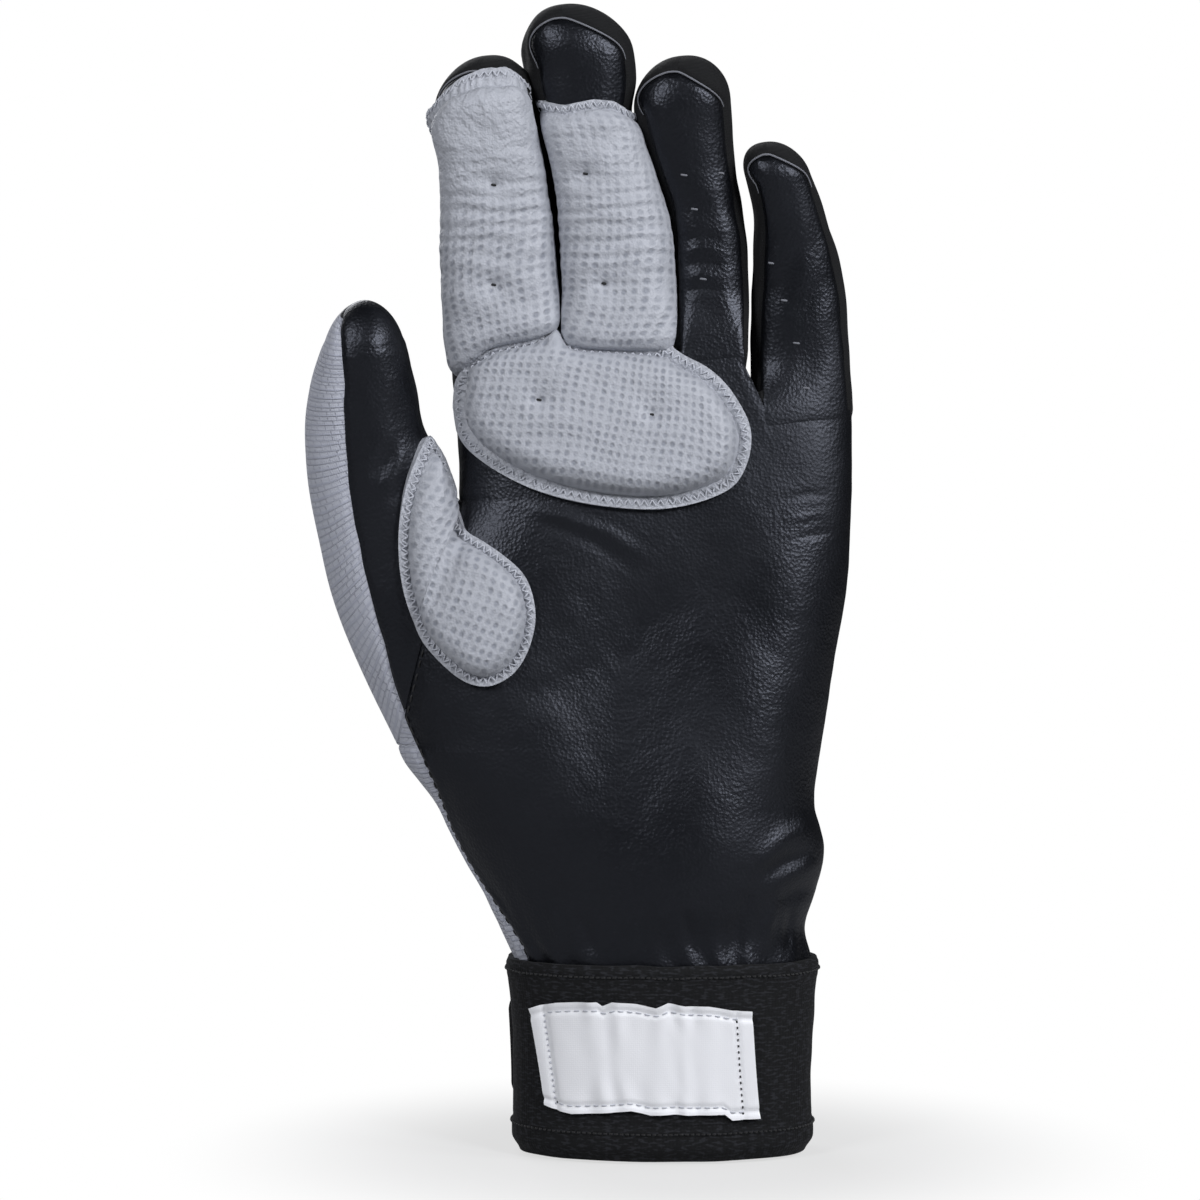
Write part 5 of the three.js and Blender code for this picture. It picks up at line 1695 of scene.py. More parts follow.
@dataclass
class FlatPad(Cushion):
    """A pad with a free outline, measured on the front of the glove."""

    outline: Path = ()
    relief: Optional[Relief] = None
    middle: tuple[float, float] = (0.0, 0.0)
    crease: Path = ()
    rings: int = 70
    columns: int = 260
    flat_turn: float = 0.0
    crease_depth: float = 1.9
    crease_width: float = 2.0
    lift: float = 0.35
    root: float = 0.3
    ring_power: float = 1.35
    unevenness: float = 0.16
    pucker_height: float = 0.3
    pucker_count: int = 71
    wall_groove: float = 0.5
    deepest: float = -0.3
    flange_at: Optional[Surface] = None

    @property
    def stand(self) -> float:
        """How far the outside of the flange stands off the glove's front."""
        return self.lift + self.thickness

    def build(self, nodes: Sequence[str], body: Body, bend: Optional[Bend] = None) -> None:
        """Builds the pad.

        Args:
            nodes: the solids that it stands for.
            body: the body that it rides on.
            bend: a second body, with the start and end of the fold.
        """
        edge = round_path(self.outline, self.columns, closed=True)
        middle = np.array(self.middle)
        shares = 1 - np.linspace(0, 1, self.rings) ** self.ring_power
        flat = middle + (edge - middle)[None] * shares[:, None, None]
        flat = np.concatenate([flat, flat[:, :1]], axis=1)
        x, z = flat[..., 0], flat[..., 1]
        distance, _ = path_distance(x, z, edge, closed=True)
        base = self.relief.under(x, z)
        normals = self.relief.normals(x, z)
        flange = self.flange if self.flange_at is None else self.flange_at(x, z)
        height = self.profile(distance - flange)
        height = height + self.unevenness * ripple(x, z, 9, 12) * smooth(self.flange, 8, distance)
        height = height - self.sink(x, z)
        if self.crease:
            away, share = path_distance(x, z, self.crease)
            fade = (1 - 0.55 * share) * smooth(0.5, 4, distance)
            height = height - self.crease_depth * bell(away, self.crease_width) * fade
        around = np.arange(flat.shape[1]) / (flat.shape[1] - 1) * math.tau
        pucker = self.pucker_height * np.sin(around * self.pucker_count + 1.5 * np.sin(around * 9))
        pucker = pucker + 0.12 * np.sin(around * 103)
        height = height + pucker[None, :] * bell(distance / flange - 0.55, 0.35)
        height = height - self.wall_groove * bell(distance - flange, 0.5)
        outer = base + normals * (self.stand + np.maximum(height, self.deepest))[..., None]
        turn = math.radians(self.flat_turn)
        cut = np.stack([x * math.cos(turn) + z * math.sin(turn), z * math.cos(turn) - x * math.sin(turn)], -1)
        share = smooth(-0.4, 1.0, distance - flange)
        piece = Piece(self.name, self.finishes)
        inner = base - normals * self.root
        piece.sheet(outer, normals, cut, closed=True, share=share, inner=inner)
        self.sew(piece, edge, middle)
        self.complete(piece, nodes, body, bend)

    def sew(self, piece: Piece, edge: Array, middle: Array) -> None:
        """Adds the edge's zigzag and the tack stitches."""
        closed = np.vstack([edge, edge[:1]])
        ahead = np.roll(edge, -1, axis=0) - np.roll(edge, 1, axis=0)
        side = unit(np.stack([-ahead[:, 1], ahead[:, 0]], 1))
        if np.sum(side * (middle - edge)) <= 0:
            side = -side
        side = np.vstack([side, side[:1]])
        line = closed + side * self.stitch_gap
        place = self.relief.under(line[:, 0], line[:, 1])
        lifts = self.relief.normals(line[:, 0], line[:, 1])
        inward = np.stack([side[:, 0], side[:, 0] * 0, side[:, 1]], 1)
        self.edge_stitches(piece, place + lifts * self.stand, inward, lifts)
        if self.tufts:
            spots = np.array(self.tufts)
            base = self.relief.under(spots[:, 0], spots[:, 1])
            lifts = self.relief.normals(spots[:, 0], spots[:, 1])
            away, _ = path_distance(spots[:, 0], spots[:, 1], edge, closed=True)
            height = self.profile(away - self.flange) - self.sink(spots[:, 0], spots[:, 1])
            self.tuft_stitches(piece, base + lifts * (self.stand + height + 0.1)[:, None], lifts)


@dataclass
class FingerPad(Cushion):
    """A pad that wraps the front of a finger from side to side."""

    rise: float = 3.4
    flange: float = 1.6
    shoulder: float = 4.0
    shell: Optional[DigitShell] = None
    low_turn: float = 10.0
    high_turn: float = 170.0
    top: Path = ()
    bottom: Path = ()
    rows: int = 200
    columns: int = 110
    wrinkles: float = 0.0
    low_side: float = 0.0
    high_side: float = 0.0
    corner: float = 0.0
    top_flange: float = 2.0
    smooth_top: float = 0.0
    corner_radius: float = 5
    seam_step: int = 5
    lift: float = 0.3
    side_lift: float = 0.1
    root: float = 0.6
    wrinkle_turns: float = 1.9
    unevenness: float = 0.26
    pucker_height: float = 0.2
    pucker_turns: float = 4.3
    below_seam: float = 0.9

    def ends(self, turns: Array) -> tuple[Array, Array]:
        """Where each column starts and ends along the finger, from the measured edges.

        Args:
            turns: the columns' turns.

        Returns:
            Places along the finger of the lower and the upper edge.
        """
        s = np.linspace(-10 / self.shell.form.length, 0.995, 500)
        points = self.shell.form.at(s[:, None], turns[None, :])
        x, z = SIGHT.seen(points)
        found = []
        for path in (self.bottom, self.top):
            line = np.array(sorted(path))
            level = np.interp(x, line[:, 0], line[:, 1])
            found.append(s[np.argmax(z > level, axis=0)])
        return found[0] - self.below_seam / self.shell.form.length, found[1]

    def build(self, nodes: Sequence[str], body: Body) -> None:
        """Builds the pad.

        Args:
            nodes: the solids that it stands for.
            body: the finger's body.
        """
        form = self.shell.form
        turns = np.linspace(self.high_turn, self.low_turn, self.columns)
        starts, stops = (evened(values, 5) for values in self.ends(turns))
        spread = np.linspace(0, 1, self.rows)
        spread = mix(spread, (1 - np.cos(spread * math.pi)) / 2, 0.45)
        s = starts[None, :] + (stops - starts)[None, :] * spread[:, None]
        degrees = np.broadcast_to(turns, s.shape)
        base = self.shell.tuck(form.at(s, degrees), s, degrees)
        normals = self.shell.outward(s, degrees)
        around, along = gone_along(base, 1), gone_along(base, 0)
        left = along[-1:] - along
        side = np.minimum(around, around[:, -1:] - around)
        ends = np.minimum(along + self.flange - 0.7, np.maximum(left + (self.flange - self.top_flange), 0))
        distance = np.minimum(side, ends)
        radius = self.corner_radius
        corner = np.hypot(np.maximum(radius - side, 0), np.maximum(radius - ends, 0))
        distance = np.where((side < radius) & (ends < radius), np.maximum(radius - corner, 0), distance)
        x, z = SIGHT.seen(base)
        share = along / along[-1:]
        height = self.profile(distance - self.flange) - self.sink(x, z)
        waves = np.sin(z * self.wrinkle_turns + 1.4 * ripple(x, z, 12, 5)) * smooth(3, 7, distance)
        height = height + self.wrinkles * waves * bell(share - 0.5, 0.2)
        height = height + self.unevenness * ripple(x, z, 9, 21) * smooth(2, 6, distance)
        sewn = bell(left - 0.55 * self.top_flange, 0.4 * self.top_flange)
        pucker = self.pucker_height * np.sin(around * self.pucker_turns + 2 * np.sin(around * 0.9))
        height = height + pucker * sewn
        facing = np.sin(np.radians(degrees))
        flank = np.where(degrees > 90, self.high_side, self.low_side)
        peak = self.corner * bell(left - 2.0, 3.0) * (degrees > 90) - bell(along, 6.0)
        low, high = self.side_lift + flank + peak, self.lift + self.thickness + height
        stand = mix(low, high, smooth(0.3, 0.88, facing))
        outer = base + normals * stand[..., None]
        cut = np.stack([around, along], -1)
        pressed = 1 - self.smooth_top * smooth(0.35, 0.75, share)
        share = smooth(self.flange, self.flange + 1.2, distance) * pressed
        piece = Piece(self.name, self.finishes)
        piece.sheet(outer, normals, cut, share=share, inner=base - normals * self.root)
        self.sew(piece, outer, normals, x, z)
        self.complete(piece, nodes, Body.HAND, (body, *form.bend_places(-3.0, 6.0)))

    def sew(self, piece: Piece, outer: Array, normals: Array, x: Array, z: Array) -> None:
        """Adds the edges' zigzag and the tack stitches."""
        step = self.seam_step
        around, out = outer.swapaxes(0, 1), normals.swapaxes(0, 1)
        edges = ((around, out, step, 2), (around, out, -1 - step, -2), (outer, normals, -1 - step, -2))
        for grid, lifts, at, inward in edges:
            self.edge_stitches(piece, grid[at], unit(grid[at + inward] - grid[at]), lifts[at])
        where = [np.argmin(np.hypot(x - tuft[0], z - tuft[1])) for tuft in self.tufts]
        spots, lifts = outer.reshape(-1, 3)[where], normals.reshape(-1, 3)[where]
        self.tuft_stitches(piece, spots + lifts * 0.1, lifts)


@dataclass
class Cuff:
    """The elastic cuff with its blank label, and the tab that closes it at the back."""

    form: HandForm
    wardrobe: Wardrobe
    slit: float = 11.0
    gap: float = 0.3
    base_length: float = 8.0
    tab_length: float = 45.0
    tab_span: tuple[float, float] = (8.0, 34.0)
    tab_thickness: float = 1.4
    patch_inset: float = 2.4
    patch_span: tuple[float, float] = (11.12, 30.88)
    patch_thickness: float = 0.8
    loop_length: float = 31.0
    hook_length: float = 16.0
    rib_pitch: float = 2.6
    rib_height: float = 0.02
    hem_height: float = 7.0
    hem_rise: float = 0.1
    hem_groove: float = 0.12
    fold_width: float = 4.0
    low_rounding: float = 0.9
    high_rounding: float = 0.5
    label_thickness: float = 0.35
    label_lift: float = 1.05
    pucker_count: float = 7.5
    pucker_height: float = 0.6

    def slit_turn(self, side: int) -> float:
        """The turn of the slit's edge on one side at the back."""
        return float(self.form.cuff_turn(self.form.cuff_offset + side * self.slit / 2, True))

    def strip(
        self, first: float, last: float, low: float, high: float, proud: Callable[[Array], Array],
        thick: float, rows: int = 40, columns: int = 90, wave: float = 0.0, round_off: float = 1.2,
    ) -> tuple[Array, Array, Array]:
        """A strip around the cuff, with rounded corners.

        Args:
            first: the turn it starts at.
            last: the turn it ends at.
            low: its lower edge's height.
            high: its upper edge's height.
            proud: how far its outside stands off the cuff, by share along it.
            thick: its thickness.
            rows: rows up.
            columns: columns around.
            wave: how far its edges waver.
            round_off: radius of its corners.

        Returns:
            Places of the outside, outward directions and the flat pattern.
        """
        t = np.linspace(0, 1, columns)
        middle = self.form.cuff(np.full(columns, (low + high) / 2), mix(first, last, t))
        gone = gone_along(middle)
        degrees = np.interp(np.linspace(0, gone[-1], columns), gone, mix(first, last, t))
        gone = np.linspace(0, gone[-1], columns)
        ends = np.minimum(gone, gone[-1] - gone)
        corner = round_off - np.sqrt(np.maximum(round_off**2 - np.maximum(round_off - ends, 0) ** 2, 0))
        up = np.linspace(0, 1, rows)[:, None]
        bottom = low + corner + wave * ripple(gone, gone * 0, 14, 31)
        top = high - corner + wave * ripple(gone, gone * 0, 11, 32)
        z = bottom + (top - bottom) * up
        turns = np.broadcast_to(degrees, z.shape)
        normals = self.form.cuff_normals(z, turns)
        outer = self.form.cuff(z, turns) + normals * (proud(np.broadcast_to(t, z.shape)) + thick)[..., None]
        return outer, normals, np.stack([np.broadcast_to(gone, z.shape), z], -1)

    def band(self) -> None:
        """Builds the elastic band, with ribs that stand a little proud and a turned lower hem."""
        top = self.form.cuff_height
        outer, normals, cut = self.strip(
            self.slit_turn(1) - 360, self.slit_turn(-1), 0.0, top, lambda t: t * 0, 0.0, 90, 420, wave=0.15
        )
        gone, z = cut[..., 0], cut[..., 1]
        low, high, blend = self.hem_height, top - self.fold_width, 0.4
        rib = self.rib_height * np.sin(gone * math.tau / self.rib_pitch + 0.6 * ripple(gone, z, 10, 41))
        soft = 0.35 * ripple(gone, z, 24, 42) + 0.15 * ripple(gone, z, 9, 43)
        hem = self.hem_rise * smooth(low + blend, low - blend, z)
        hem = hem - self.hem_groove * bell(z - (low + 0.2), 0.5)
        fold = self.hem_rise * smooth(high - blend, high + blend, z)
        edge = self.low_rounding * smooth(3.2, 0, z) + self.high_rounding * smooth(top - 1.2, top, z)
        outer = outer + normals * (rib + soft * 0.5 + hem + fold - edge)[..., None]
        piece = Piece("cuff_elastic", ["black_elastic", "black_thread"])
        piece.sheet(outer, normals, cut, self.form.cuff_thickness)
        for height in (low - 0.1, high + 0.6):
            row = int(np.argmin(np.abs(z[:, 0] - height)))
            piece.running_stitch(outer[row], normals[row], 4, outer.shape[1] - 6, 3, 2, 0.15, 0.2, 1)
        finish_piece(piece, self.wardrobe, ["cuff_band"], Body.HAND)

    def label(self) -> None:
        """Builds the blank woven label: puckered white tape sewn on at both ends."""
        top, bottom = np.array(LABEL_TOP), np.array(LABEL_BOTTOM)
        columns, rows, first_depth = 200, 90, -20.0
        u, v = np.linspace(0, 1, columns), np.linspace(0, 1, rows)[:, None]
        low_x = mix(bottom[0, 0], bottom[-1, 0], u)
        high_x = mix(top[0, 0], top[-1, 0] - 0.2, u)
        x = mix(low_x[None], high_x[None], v)
        z = mix(np.interp(low_x, *bottom.T)[None], np.interp(high_x, *top.T)[None], v)
        slant = 1.2 * v * smooth(0.06, 0.0, u)[None] + 0.9 * (1 - v) * smooth(0.94, 1.0, u)[None]
        y = np.full(x.shape, first_depth)
        for _ in range(4):
            true_x, true_z = SIGHT.place(x, z, y)
            y = self.form.cuff(true_z, self.form.cuff_turn(true_x))[..., 1]
        degrees = self.form.cuff_turn(true_x)
        base, normals = self.form.cuff(true_z, degrees), self.form.cuff_normals(true_z, degrees)
        inside = np.sin(np.clip((u - 0.04) / 0.9, 0, 1) * math.pi)[None] ** 0.5
        pucker = np.cos(u * 2 * math.pi * self.pucker_count + 0.9 * np.sin(u * 19) + 1.3 * v * np.sin(u * 8))
        swell = 0.55 + 0.45 * ripple(x, z, 8, 51)
        height = self.pucker_height * pucker * swell * inside
        lift = self.label_lift + height * (0.65 + 0.35 * np.cos(v * 2 * math.pi)) + slant * 0.5
        sewn_columns, sewn_rows = (0.055, 0.93), (0.07, 0.93)
        for place in sewn_columns:
            lift = lift - 0.45 * bell(u - place, 0.014)[None]
        for place in sewn_rows:
            lift = lift - 0.35 * bell(v - place, 0.03)
        outer = base + normals * lift[..., None]
        piece = Piece("blank_label", ["white_tape"])
        piece.sheet(outer, normals, np.stack([x, z], -1), self.label_thickness)
        made = finish_piece(piece, self.wardrobe, ["label"], Body.HAND)
        seams = Piece("label_stitches", ["black_thread", "grey_thread"])
        for place, slot in zip(sewn_columns, (1, 0)):
            column = int(place * (columns - 1))
            seams.running_stitch(outer[:, column], normals[:, column], 4, rows - 6, 5, 2, 0.1, 0.17, slot)
        for place in sewn_rows:
            row = int(place * (rows - 1))
            seams.running_stitch(outer[row], normals[row], 13, 182, 8, 5, 0.1, 0.15, 1)
        sewn = finish_piece(seams, self.wardrobe, [], Body.HAND)

    def turn_after(self, first: float, length: float) -> float:
        """The turn reached from another one after a length around the cuff."""
        turns = first + np.sign(length) * np.linspace(0, 200, 801)
        places = self.form.cuff(np.full(len(turns), self.form.cuff_height / 2), turns)
        return float(np.interp(abs(length), gone_along(places), turns))

    def closure(self) -> None:
        """Builds the tab, the piece it is sewn to and the two halves of its fastener."""
        after = self.turn_after
        low_slit, high_slit = self.slit_turn(-1), self.slit_turn(1)
        root = after(high_slit, self.base_length)
        end = after(root, -self.tab_length)
        loop_end, hook_end = after(low_slit, -self.patch_inset), after(end, self.patch_inset)
        on_cuff, on_tab = lambda t: t * 0 + self.gap, lambda t: t * 0 + self.tab_thickness
        lifted = lambda t: mix(self.gap, 2 * self.tab_thickness, smooth(0, 0.22, t))
        tab, patch = (*self.tab_span, self.tab_thickness), (*self.patch_span, self.patch_thickness)
        plans = (
            ("loop_tape", "black_hook", "hook_and_loop", "loop_patch", Body.HAND, patch,
             after(loop_end, -self.loop_length), loop_end, on_cuff),
            ("tab_base", "black_elastic", "cuff_elastic", "tab_anchor", Body.HAND, tab,
             after(root, 0.4), after(root, 0.4 + self.base_length), on_cuff),
            ("closing_tab", "black_elastic", "cuff_elastic", "cuff_tab", Body.STRAP, tab, root, end, lifted),
            ("hook_tape", "black_hook", "hook_and_loop", "hook_patch", Body.STRAP, patch,
             after(hook_end, self.hook_length), hook_end, on_tab),
        )
        for name, finish, slot, node, body, (low, high, thick), first, last, proud in plans:
            outer, normals, cut = self.strip(first, last, low, high, proud, thick, round_off=3.0)
            gone, z = cut[..., 0], cut[..., 1]
            edge = np.minimum(np.minimum(gone, gone[:, -1:] - gone), np.minimum(z - z[:1], z[-1:] - z))
            outer = outer - normals * (0.25 * bell(edge, 0.5) + 0.12 * bell(edge - 2.2, 0.35))[..., None]
            piece = Piece(name, [finish])
            piece.sheet(outer, normals, cut, thick)
            finish_piece(piece, self.wardrobe, [node], body)

    def build(self) -> None:
        """Builds the cuff."""
        self.band()
        self.label()
        self.closure()


# The measured outlines of the pads and the label, as they are seen on the middle plane

PALM_PAD: Path = (
    (-42.8, 165.6), (-43.5, 160.6), (-43.1, 155.2), (-41.5, 151.1), (-38.7, 147.9), (-34.0, 144.4),
    (-27.3, 141.0), (-19.2, 138.6), (-11.2, 137.3), (-2.4, 136.7), (4.3, 137.3), (11.0, 139.1),
    (16.1, 141.7), (18.5, 145.8), (19.6, 150.5), (19.4, 154.5), (17.7, 158.5), (14.4, 163.6),
    (10.3, 167.3), (6.3, 169.2), (3.7, 170.7), (1.7, 172.4), (-0.4, 170.7), (-3.9, 170.9),
    (-11.8, 171.3), (-18.7, 171.6), (-21.1, 174.6), (-23.2, 174.4), (-27.3, 173.1), (-33.3, 172.0),
    (-36.7, 171.1), (-40.0, 168.6),
)
THUMB_PAD: Path = (
    (-51.2, 152.5), (-53.8, 145.8), (-55.3, 140.4), (-56.2, 133.9), (-56.3, 128.0), (-55.6, 121.5),
    (-54.1, 115.7), (-50.9, 108.6), (-46.7, 103.8), (-42.0, 99.8), (-37.3, 98.5), (-33.5, 99.8),
    (-30.2, 102.7), (-27.9, 107.4), (-26.6, 113.3), (-27.3, 118.6), (-29.0, 122.8), (-32.6, 126.2),
    (-37.3, 129.5), (-41.7, 131.9), (-42.6, 135.1), (-44.3, 139.8), (-45.8, 143.9), (-47.4, 148.1),
    (-49.1, 150.5), (-50.1, 152.2),
)
THUMB_PAD_CREASE: Path = ((-41.7, 132.0), (-42.0, 127.5), (-43.5, 123.9), (-45.0, 121.0), (-47.3, 117.4))
INDEX_SEAM: Path = (
    (-44.7, 164.7), (-42.8, 166.0), (-40.0, 168.6), (-36.8, 171.2), (-33.3, 172.2), (-27.3, 173.2),
    (-23.2, 174.8), (-20.4, 175.9),
)
INDEX_TOP: Path = (
    (-51.6, 222.3), (-48.9, 222.3), (-45.4, 226.4), (-42.1, 229.1), (-38.1, 230.7), (-33.3, 231.1),
    (-30.0, 229.7), (-27.3, 227.5), (-26.0, 225.1), (-21.5, 224.7),
)
MIDDLE_TOP: Path = (
    (-30.1, 224.7), (-25.6, 224.7), (-20.6, 223.7), (-14.5, 225.0), (-10.5, 224.7), (-7.1, 222.1),
    (0.0, 220.6),
)
MIDDLE_SEAM: Path = ((-25.8, 173.3), (-19.2, 171.6), (-11.8, 171.1), (-0.4, 170.7), (6.5, 170.7))
LABEL_TOP: Path = (
    (-26.7, 29.7), (-24.9, 30.4), (-21.5, 30.9), (-17.9, 31.0), (-13.2, 31.0), (-12.1, 30.1),
    (-10.0, 31.0), (-4.9, 30.6), (-0.9, 29.7), (1.7, 30.8), (5.4, 30.1), (10.1, 30.1),
    (15.2, 29.2), (19.4, 29.0),
)
LABEL_BOTTOM: Path = (
    (-24.5, 9.0), (-21.5, 7.7), (-18.9, 7.1), (-15.0, 7.1), (-10.5, 7.3), (-6.2, 7.7),
    (-2.1, 6.7), (2.8, 6.9), (7.7, 6.7), (13.8, 6.9), (15.4, 5.6), (21.1, 6.1),
)


@dataclass
class Studio:
    """A white floor and soft lamps, with the brightest one high on the right."""

    # Each lamp's name, its place and its side in millimetres, and its power in watts
    lamps: tuple[tuple[str, tuple[float, float, float], float, float], ...] = (
        ("key", (400, -530, 440), 140, 3.1),
        ("side", (560, -300, 520), 180, 1.7),
        ("fill", (-420, -520, 500), 190, 2.6),
        ("rim", (-260, 520, 480), 400, 1.8),
    )
    lamp_colour: str = "#fafbff"
    aim: tuple[float, float, float] = (-12.0, 0.0, 125.0)
    world_colour: str = "#f2f4f8"
    world_strength: float = 0.035
    floor_shade: float = 0.45
    floor_half: float = 6.0
    floor_drop: float = 0.0006
    sensor: float = 36
    view_width: float = 258
    pixels: int = 1200

    def lamp(self, name: str, place: tuple[float, float, float], size: float, power: float) -> None:
        """Adds a square lamp that points at the glove's middle.

        Args:
            name: the lamp's name.
            place: where it stands, in millimetres.
            size: its side, in millimetres.
            power: its power in watts.
        """
        light = bpy.data.lights.new(name, "AREA")
        light.shape = "SQUARE"
        light.size = size * MM
        light.energy = power
        light.color = linear(self.lamp_colour)[:3]
        lamp = add_object(name, light)
        lamp.location = Vector(place) * MM
        aim = Vector(self.aim) * MM - lamp.location
        lamp.rotation_euler = aim.to_track_quat("-Z", "Y").to_euler()

    def floor(self) -> None:
        """Adds the white floor, which keeps the glove's shadow and otherwise shows white."""
        mesh = bpy.data.meshes.new("floor")
        half = self.floor_half
        corners = [(-half, -half, 0), (half, -half, 0), (half, half, 0), (-half, half, 0)]
        mesh.from_pydata(corners, [], [(0, 1, 2, 3)])
        material = bpy.data.materials.new("white_floor")
        material.use_nodes = True
        tree = material.node_tree
        shader = tree.nodes["Principled BSDF"]
        shader.inputs["Base Color"].default_value = (*[self.floor_shade] * 3, 1)
        shader.inputs["Roughness"].default_value = 0.9
        out = tree.nodes["Material Output"]
        place = add_node(tree, "NewGeometry").outputs["Position"]
        reach = add_node(tree, "VectorMath", {0: place}, operation="LENGTH").outputs["Value"]
        far = between(tree, reach, 0.035, 0.11, interpolation_type="SMOOTHSTEP", To_Min=0.65)
        rays = add_node(tree, "LightPath").outputs["Is Camera Ray"]
        share = reckon(tree, "MULTIPLY", far, rays)
        glow = add_node(tree, "Emission", Color=(1, 1, 1, 1), Strength=1.0)
        both = add_node(tree, "MixShader", {0: share, 1: shader.outputs[0], 2: glow.outputs[0]})
        tree.links.new(both.outputs[0], out.inputs["Surface"])
        mesh.materials.append(material)
        floor = add_object("floor", mesh)
        floor.location.z = -self.floor_drop

    def world(self) -> None:
        """Lights everything a little from all round, and shows white behind the glove."""
        world = bpy.data.worlds.new("studio")
        bpy.context.scene.world = world
        world.use_nodes = True
        tree = world.node_tree
        back = tree.nodes["Background"]
        back.inputs["Color"].default_value = linear(self.world_colour)
        back.inputs["Strength"].default_value = self.world_strength
        white = add_node(tree, "Background", Color=(1, 1, 1, 1), Strength=1.0)
        rays = add_node(tree, "LightPath").outputs["Is Camera Ray"]
        both = add_node(tree, "MixShader", {0: rays, 1: back.outputs[0], 2: white.outputs[0]})
        tree.links.new(both.outputs[0], tree.nodes["World Output"].inputs["Surface"])

    def camera(self) -> None:
        """Looks straight at the palm, as in the photograph."""
        data = bpy.data.cameras.new("camera")
        data.lens = self.sensor * SIGHT.distance / self.view_width
        data.sensor_width = self.sensor
        camera = add_object("camera", data)
        camera.location = Vector((SIGHT.x, -SIGHT.distance, SIGHT.z)) * MM
        camera.rotation_euler = (math.radians(90), 0, 0)
        scene = bpy.context.scene
        scene.camera = camera
        scene.render.resolution_x = scene.render.resolution_y = self.pixels

    def build(self) -> None:
        """Builds the studio."""
        for lamp in self.lamps:
            self.lamp(*lamp)
        self.floor()
        self.world()
        self.camera()
        scene = bpy.context.scene
        scene.view_settings.view_transform = "Standard"
        scene.view_settings.look = "None"


def finger_forms(hand: HandForm) -> dict[str, FingerForm]:
    """The four fingers' forms."""
    # Each finger's depth and length, its table of heights, drifts and widths, and its two strips
    tables = {
        "index": (
            22.6, 62.6, (0, 0.23, 0.43, 0.64, 0.78, 0.87, 1), (0.012, 0.03, 0.058, 0.067, 0.038, 0.06, 0.13),
            (0.97, 0.985, 0.995, 0.92, 0.91, 0.88, 0.8), 64.0, 0.0,
        ),
        "middle": (
            23.6, 73.0, (0, 0.17, 0.34, 0.48, 0.58, 0.68, 0.78, 0.88, 1),
            (0, 0.064, 0.088, 0.041, -0.015, -0.052, -0.05, -0.066, -0.17),
            (1, 0.996, 1.0, 0.93, 0.87, 0.885, 1.03, 1.03, 0.98), 64.0, 64.0,
        ),
        "ring": (
            22.4, 62.4, (0, 0.16, 0.36, 0.5, 0.6, 0.71, 0.84, 1),
            (0.015, 0.075, 0.125, 0.112, 0.055, -0.005, -0.035, 0.02),
            (1.03, 1.09, 1.1, 1.085, 1.14, 1.24, 1.35, 1.24), 64.0, 64.0,
        ),
        "little": (
            20.0, 57.4, (0, 0.24, 0.45, 0.59, 0.74, 0.88, 1), (0, 0.037, 0.079, 0.08, 0.054, -0.02, -0.11),
            (1, 0.975, 0.93, 0.83, 0.69, 0.63, 0.6), 0.0, 64.0,
        ),
    }
    return {
        name: FingerForm(fold, width, *table)
        for (name, table), fold, width in zip(tables.items(), hand.folds, hand.finger_widths)
    }


def front_relief(hand: HandForm, digits: Sequence[DigitForm]) -> Relief:
    """Gathers the glove's front into one relief, for the pads that cross a fold."""
    relief = Relief()
    count, rounds = 420, 8
    z = np.linspace(hand.cuff_height, hand.cuff_height + hand.hand_height + 2, count)
    turns = np.linspace(5, 175, count)
    held = np.minimum(turns[None, :], np.minimum(hand.section(z)["start"], 179.0)[:, None])
    relief.gather(hand.at(z[:, None], held))
    for form in digits:
        s = np.linspace(0.0, 0.97, count)
        relief.gather(form.at(s[:, None], np.linspace(2, 178, count)[None, :]))
    relief.settle(rounds)
    return relief


def palm_flange(x: Array, z: Array) -> Array:
    """Width of the palm pad's stitched edge: narrow where the finger pads meet it."""
    edge = (1.7, 164.7)
    return mix(2.9, 1.0, smooth(edge[1] - 2, edge[1] + 3, z) * smooth(edge[0] + 2, edge[0] - 4, x))


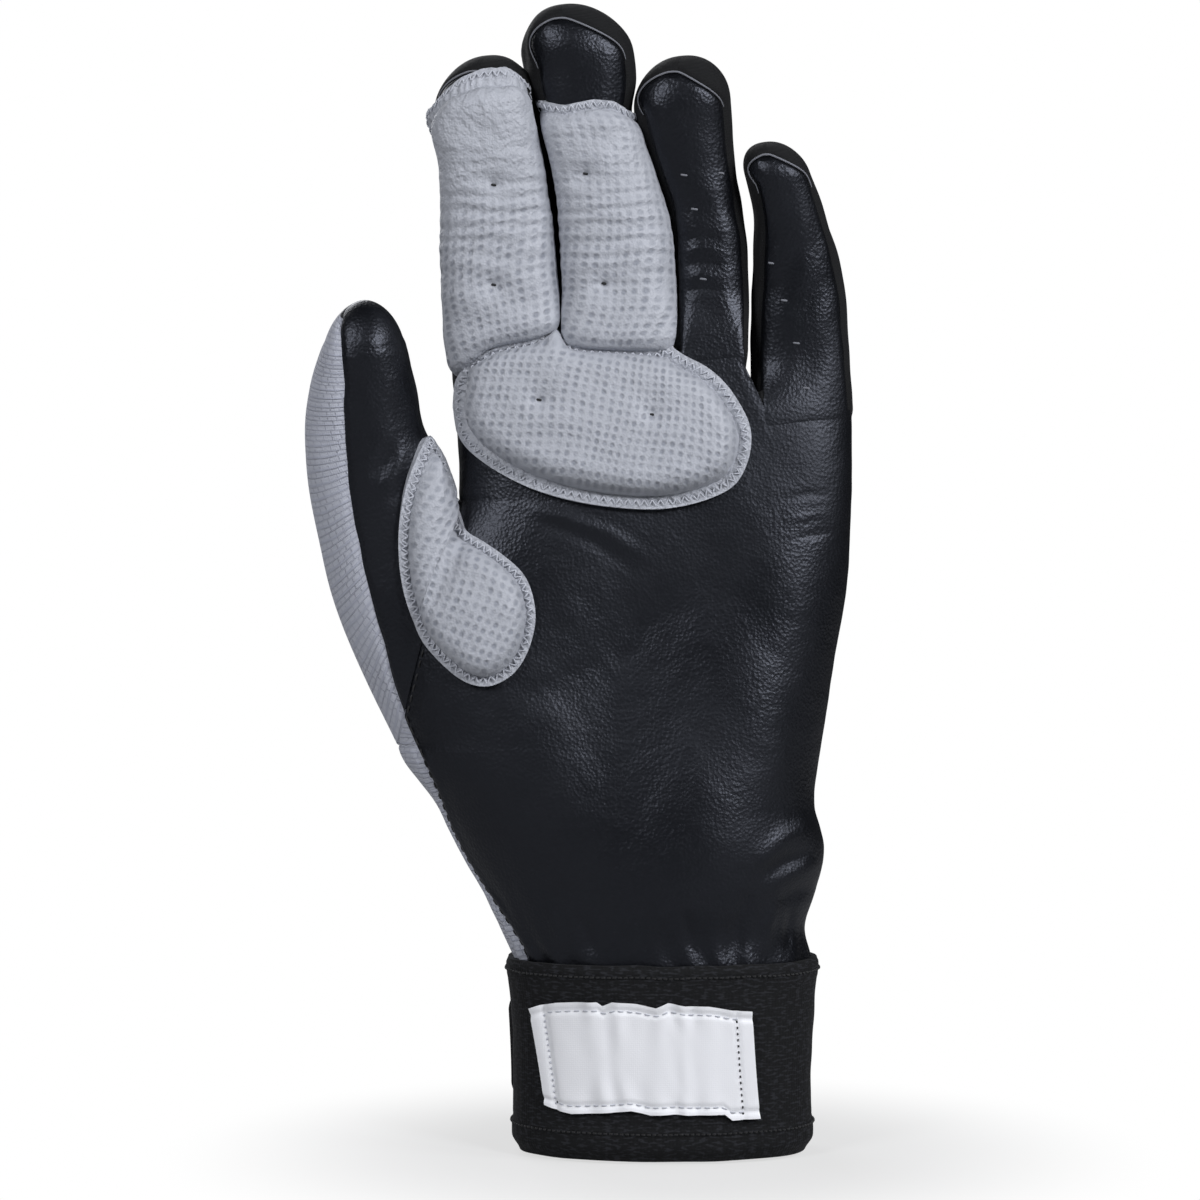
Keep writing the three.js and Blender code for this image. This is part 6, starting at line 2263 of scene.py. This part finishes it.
def main() -> None:
    """Builds the glove piece by piece, then the studio around it."""
    logging.basicConfig(level=logging.INFO, format="%(name)s: %(message)s")
    wardrobe = Wardrobe()
    hand = HandForm()
    fingers = finger_forms(hand)
    thumb = ThumbForm(hand)

    HandShell(hand, wardrobe).build()

    index_shell = DigitShell("index", fingers["index"], hand, wardrobe, low_bulge=1.7)
    middle_shell = DigitShell("middle", fingers["middle"], hand, wardrobe, low_bulge=0.4, high_bulge=1.6)
    ring_shell = DigitShell(
        "ring", fingers["ring"], hand, wardrobe,
        gathers=tuple(
            Crease(((4.7, z - 0.9), (9.0, z), (13.8, z - 0.6)), 0.9, height)
            for z, height in ((195.7, -0.26), (192.9, 0.2), (190.1, -0.26), (187.3, 0.2), (184.5, -0.24))
        ),
        tacks=((5.2, 208.5), (7.3, 201.2), (9.2, 186.4), (12.9, 209.2)),
    )
    little_shell = DigitShell(
        "little", fingers["little"], hand, wardrobe,
        tacks=((23.9, 189.6), (26.9, 181.7), (29.5, 172.6), (31.4, 163.0)),
    )
    index_shell.build(("index_front", "index_back", "index_fourchette"), Body.INDEX)
    middle_shell.build(
        ("middle_front", "middle_back", "middle_fourchette_ulnar", "middle_fourchette_radial"), Body.MIDDLE
    )
    ring_shell.build(
        ("ring_front", "ring_back", "ring_fourchette_ulnar", "ring_fourchette_radial"), Body.RING
    )
    little_shell.build(("little_front", "little_back", "little_fourchette"), Body.LITTLE)

    DigitShell(
        "thumb", thumb, hand, wardrobe, back_finish="grey_mesh", root=10.0, rows=190, over_tip=True,
        gathers=(
            Crease(((-61.9, 143.2), (-59.3, 147.1), (-57.0, 151.8)), 1.4, -0.6),
            Crease(((-60.2, 141.0), (-57.2, 144.5), (-55.0, 149.6)), 1.4, 0.5),
            Crease(((-58.5, 137.8), (-55.5, 140.6), (-53.8, 145.3)), 1.4, -0.5),
        ),
    ).build(("thumb_front", "thumb_back", "thumb_gusset"), Body.THUMB)

    relief = front_relief(hand, [thumb, fingers["index"], fingers["middle"], fingers["ring"]])
    FlatPad(
        "palm_pad", wardrobe, rise=5.2, outline=PALM_PAD, relief=relief, middle=(-11.8, 154.4),
        tufts=((-25.4, 159.7), (-1.9, 156.5)), flat_turn=-8.0, flange_at=palm_flange,
    ).build(("palm_pad_cover", "palm_pad_foam"), Body.HAND)
    fold_low = thumb.middle - thumb.out * 6.0
    fold_high = thumb.middle + thumb.out * 8.0
    FlatPad(
        "thumb_pad", wardrobe, rise=4.4, flange=2.0, outline=THUMB_PAD, relief=relief, middle=(-44.7, 119.5),
        crease=THUMB_PAD_CREASE, flat_turn=-20.0,
    ).build(
        ("thumb_pad_palm_cover", "thumb_pad_palm_foam", "thumb_pad_thumb_cover", "thumb_pad_thumb_foam"),
        Body.HAND, (Body.THUMB, fold_low, fold_high),
    )
    FingerPad(
        "index_pad", wardrobe, shell=index_shell, low_turn=8, high_turn=172, top=INDEX_TOP, bottom=INDEX_SEAM,
        tufts=((-35.7, 206.6), (-35.7, 185.1)), wrinkles=0.2, corner=1.3, low_side=-0.2, high_side=0.1,
        top_flange=3.8, smooth_top=0.85,
    ).build(("index_pad_cover", "index_pad_foam"), Body.INDEX)
    FingerPad(
        "middle_pad", wardrobe, shell=middle_shell, low_turn=10, high_turn=172, top=MIDDLE_TOP,
        bottom=MIDDLE_SEAM, tufts=((-15.5, 209.2), (-12.0, 185.1)), wrinkles=0.19, low_side=1.3,
        high_side=-0.3, smooth_top=0.35,
    ).build(("middle_pad_cover", "middle_pad_foam"), Body.MIDDLE)

    Cuff(hand, wardrobe).build()
    Studio().build()


if __name__ == "__main__":
    main()
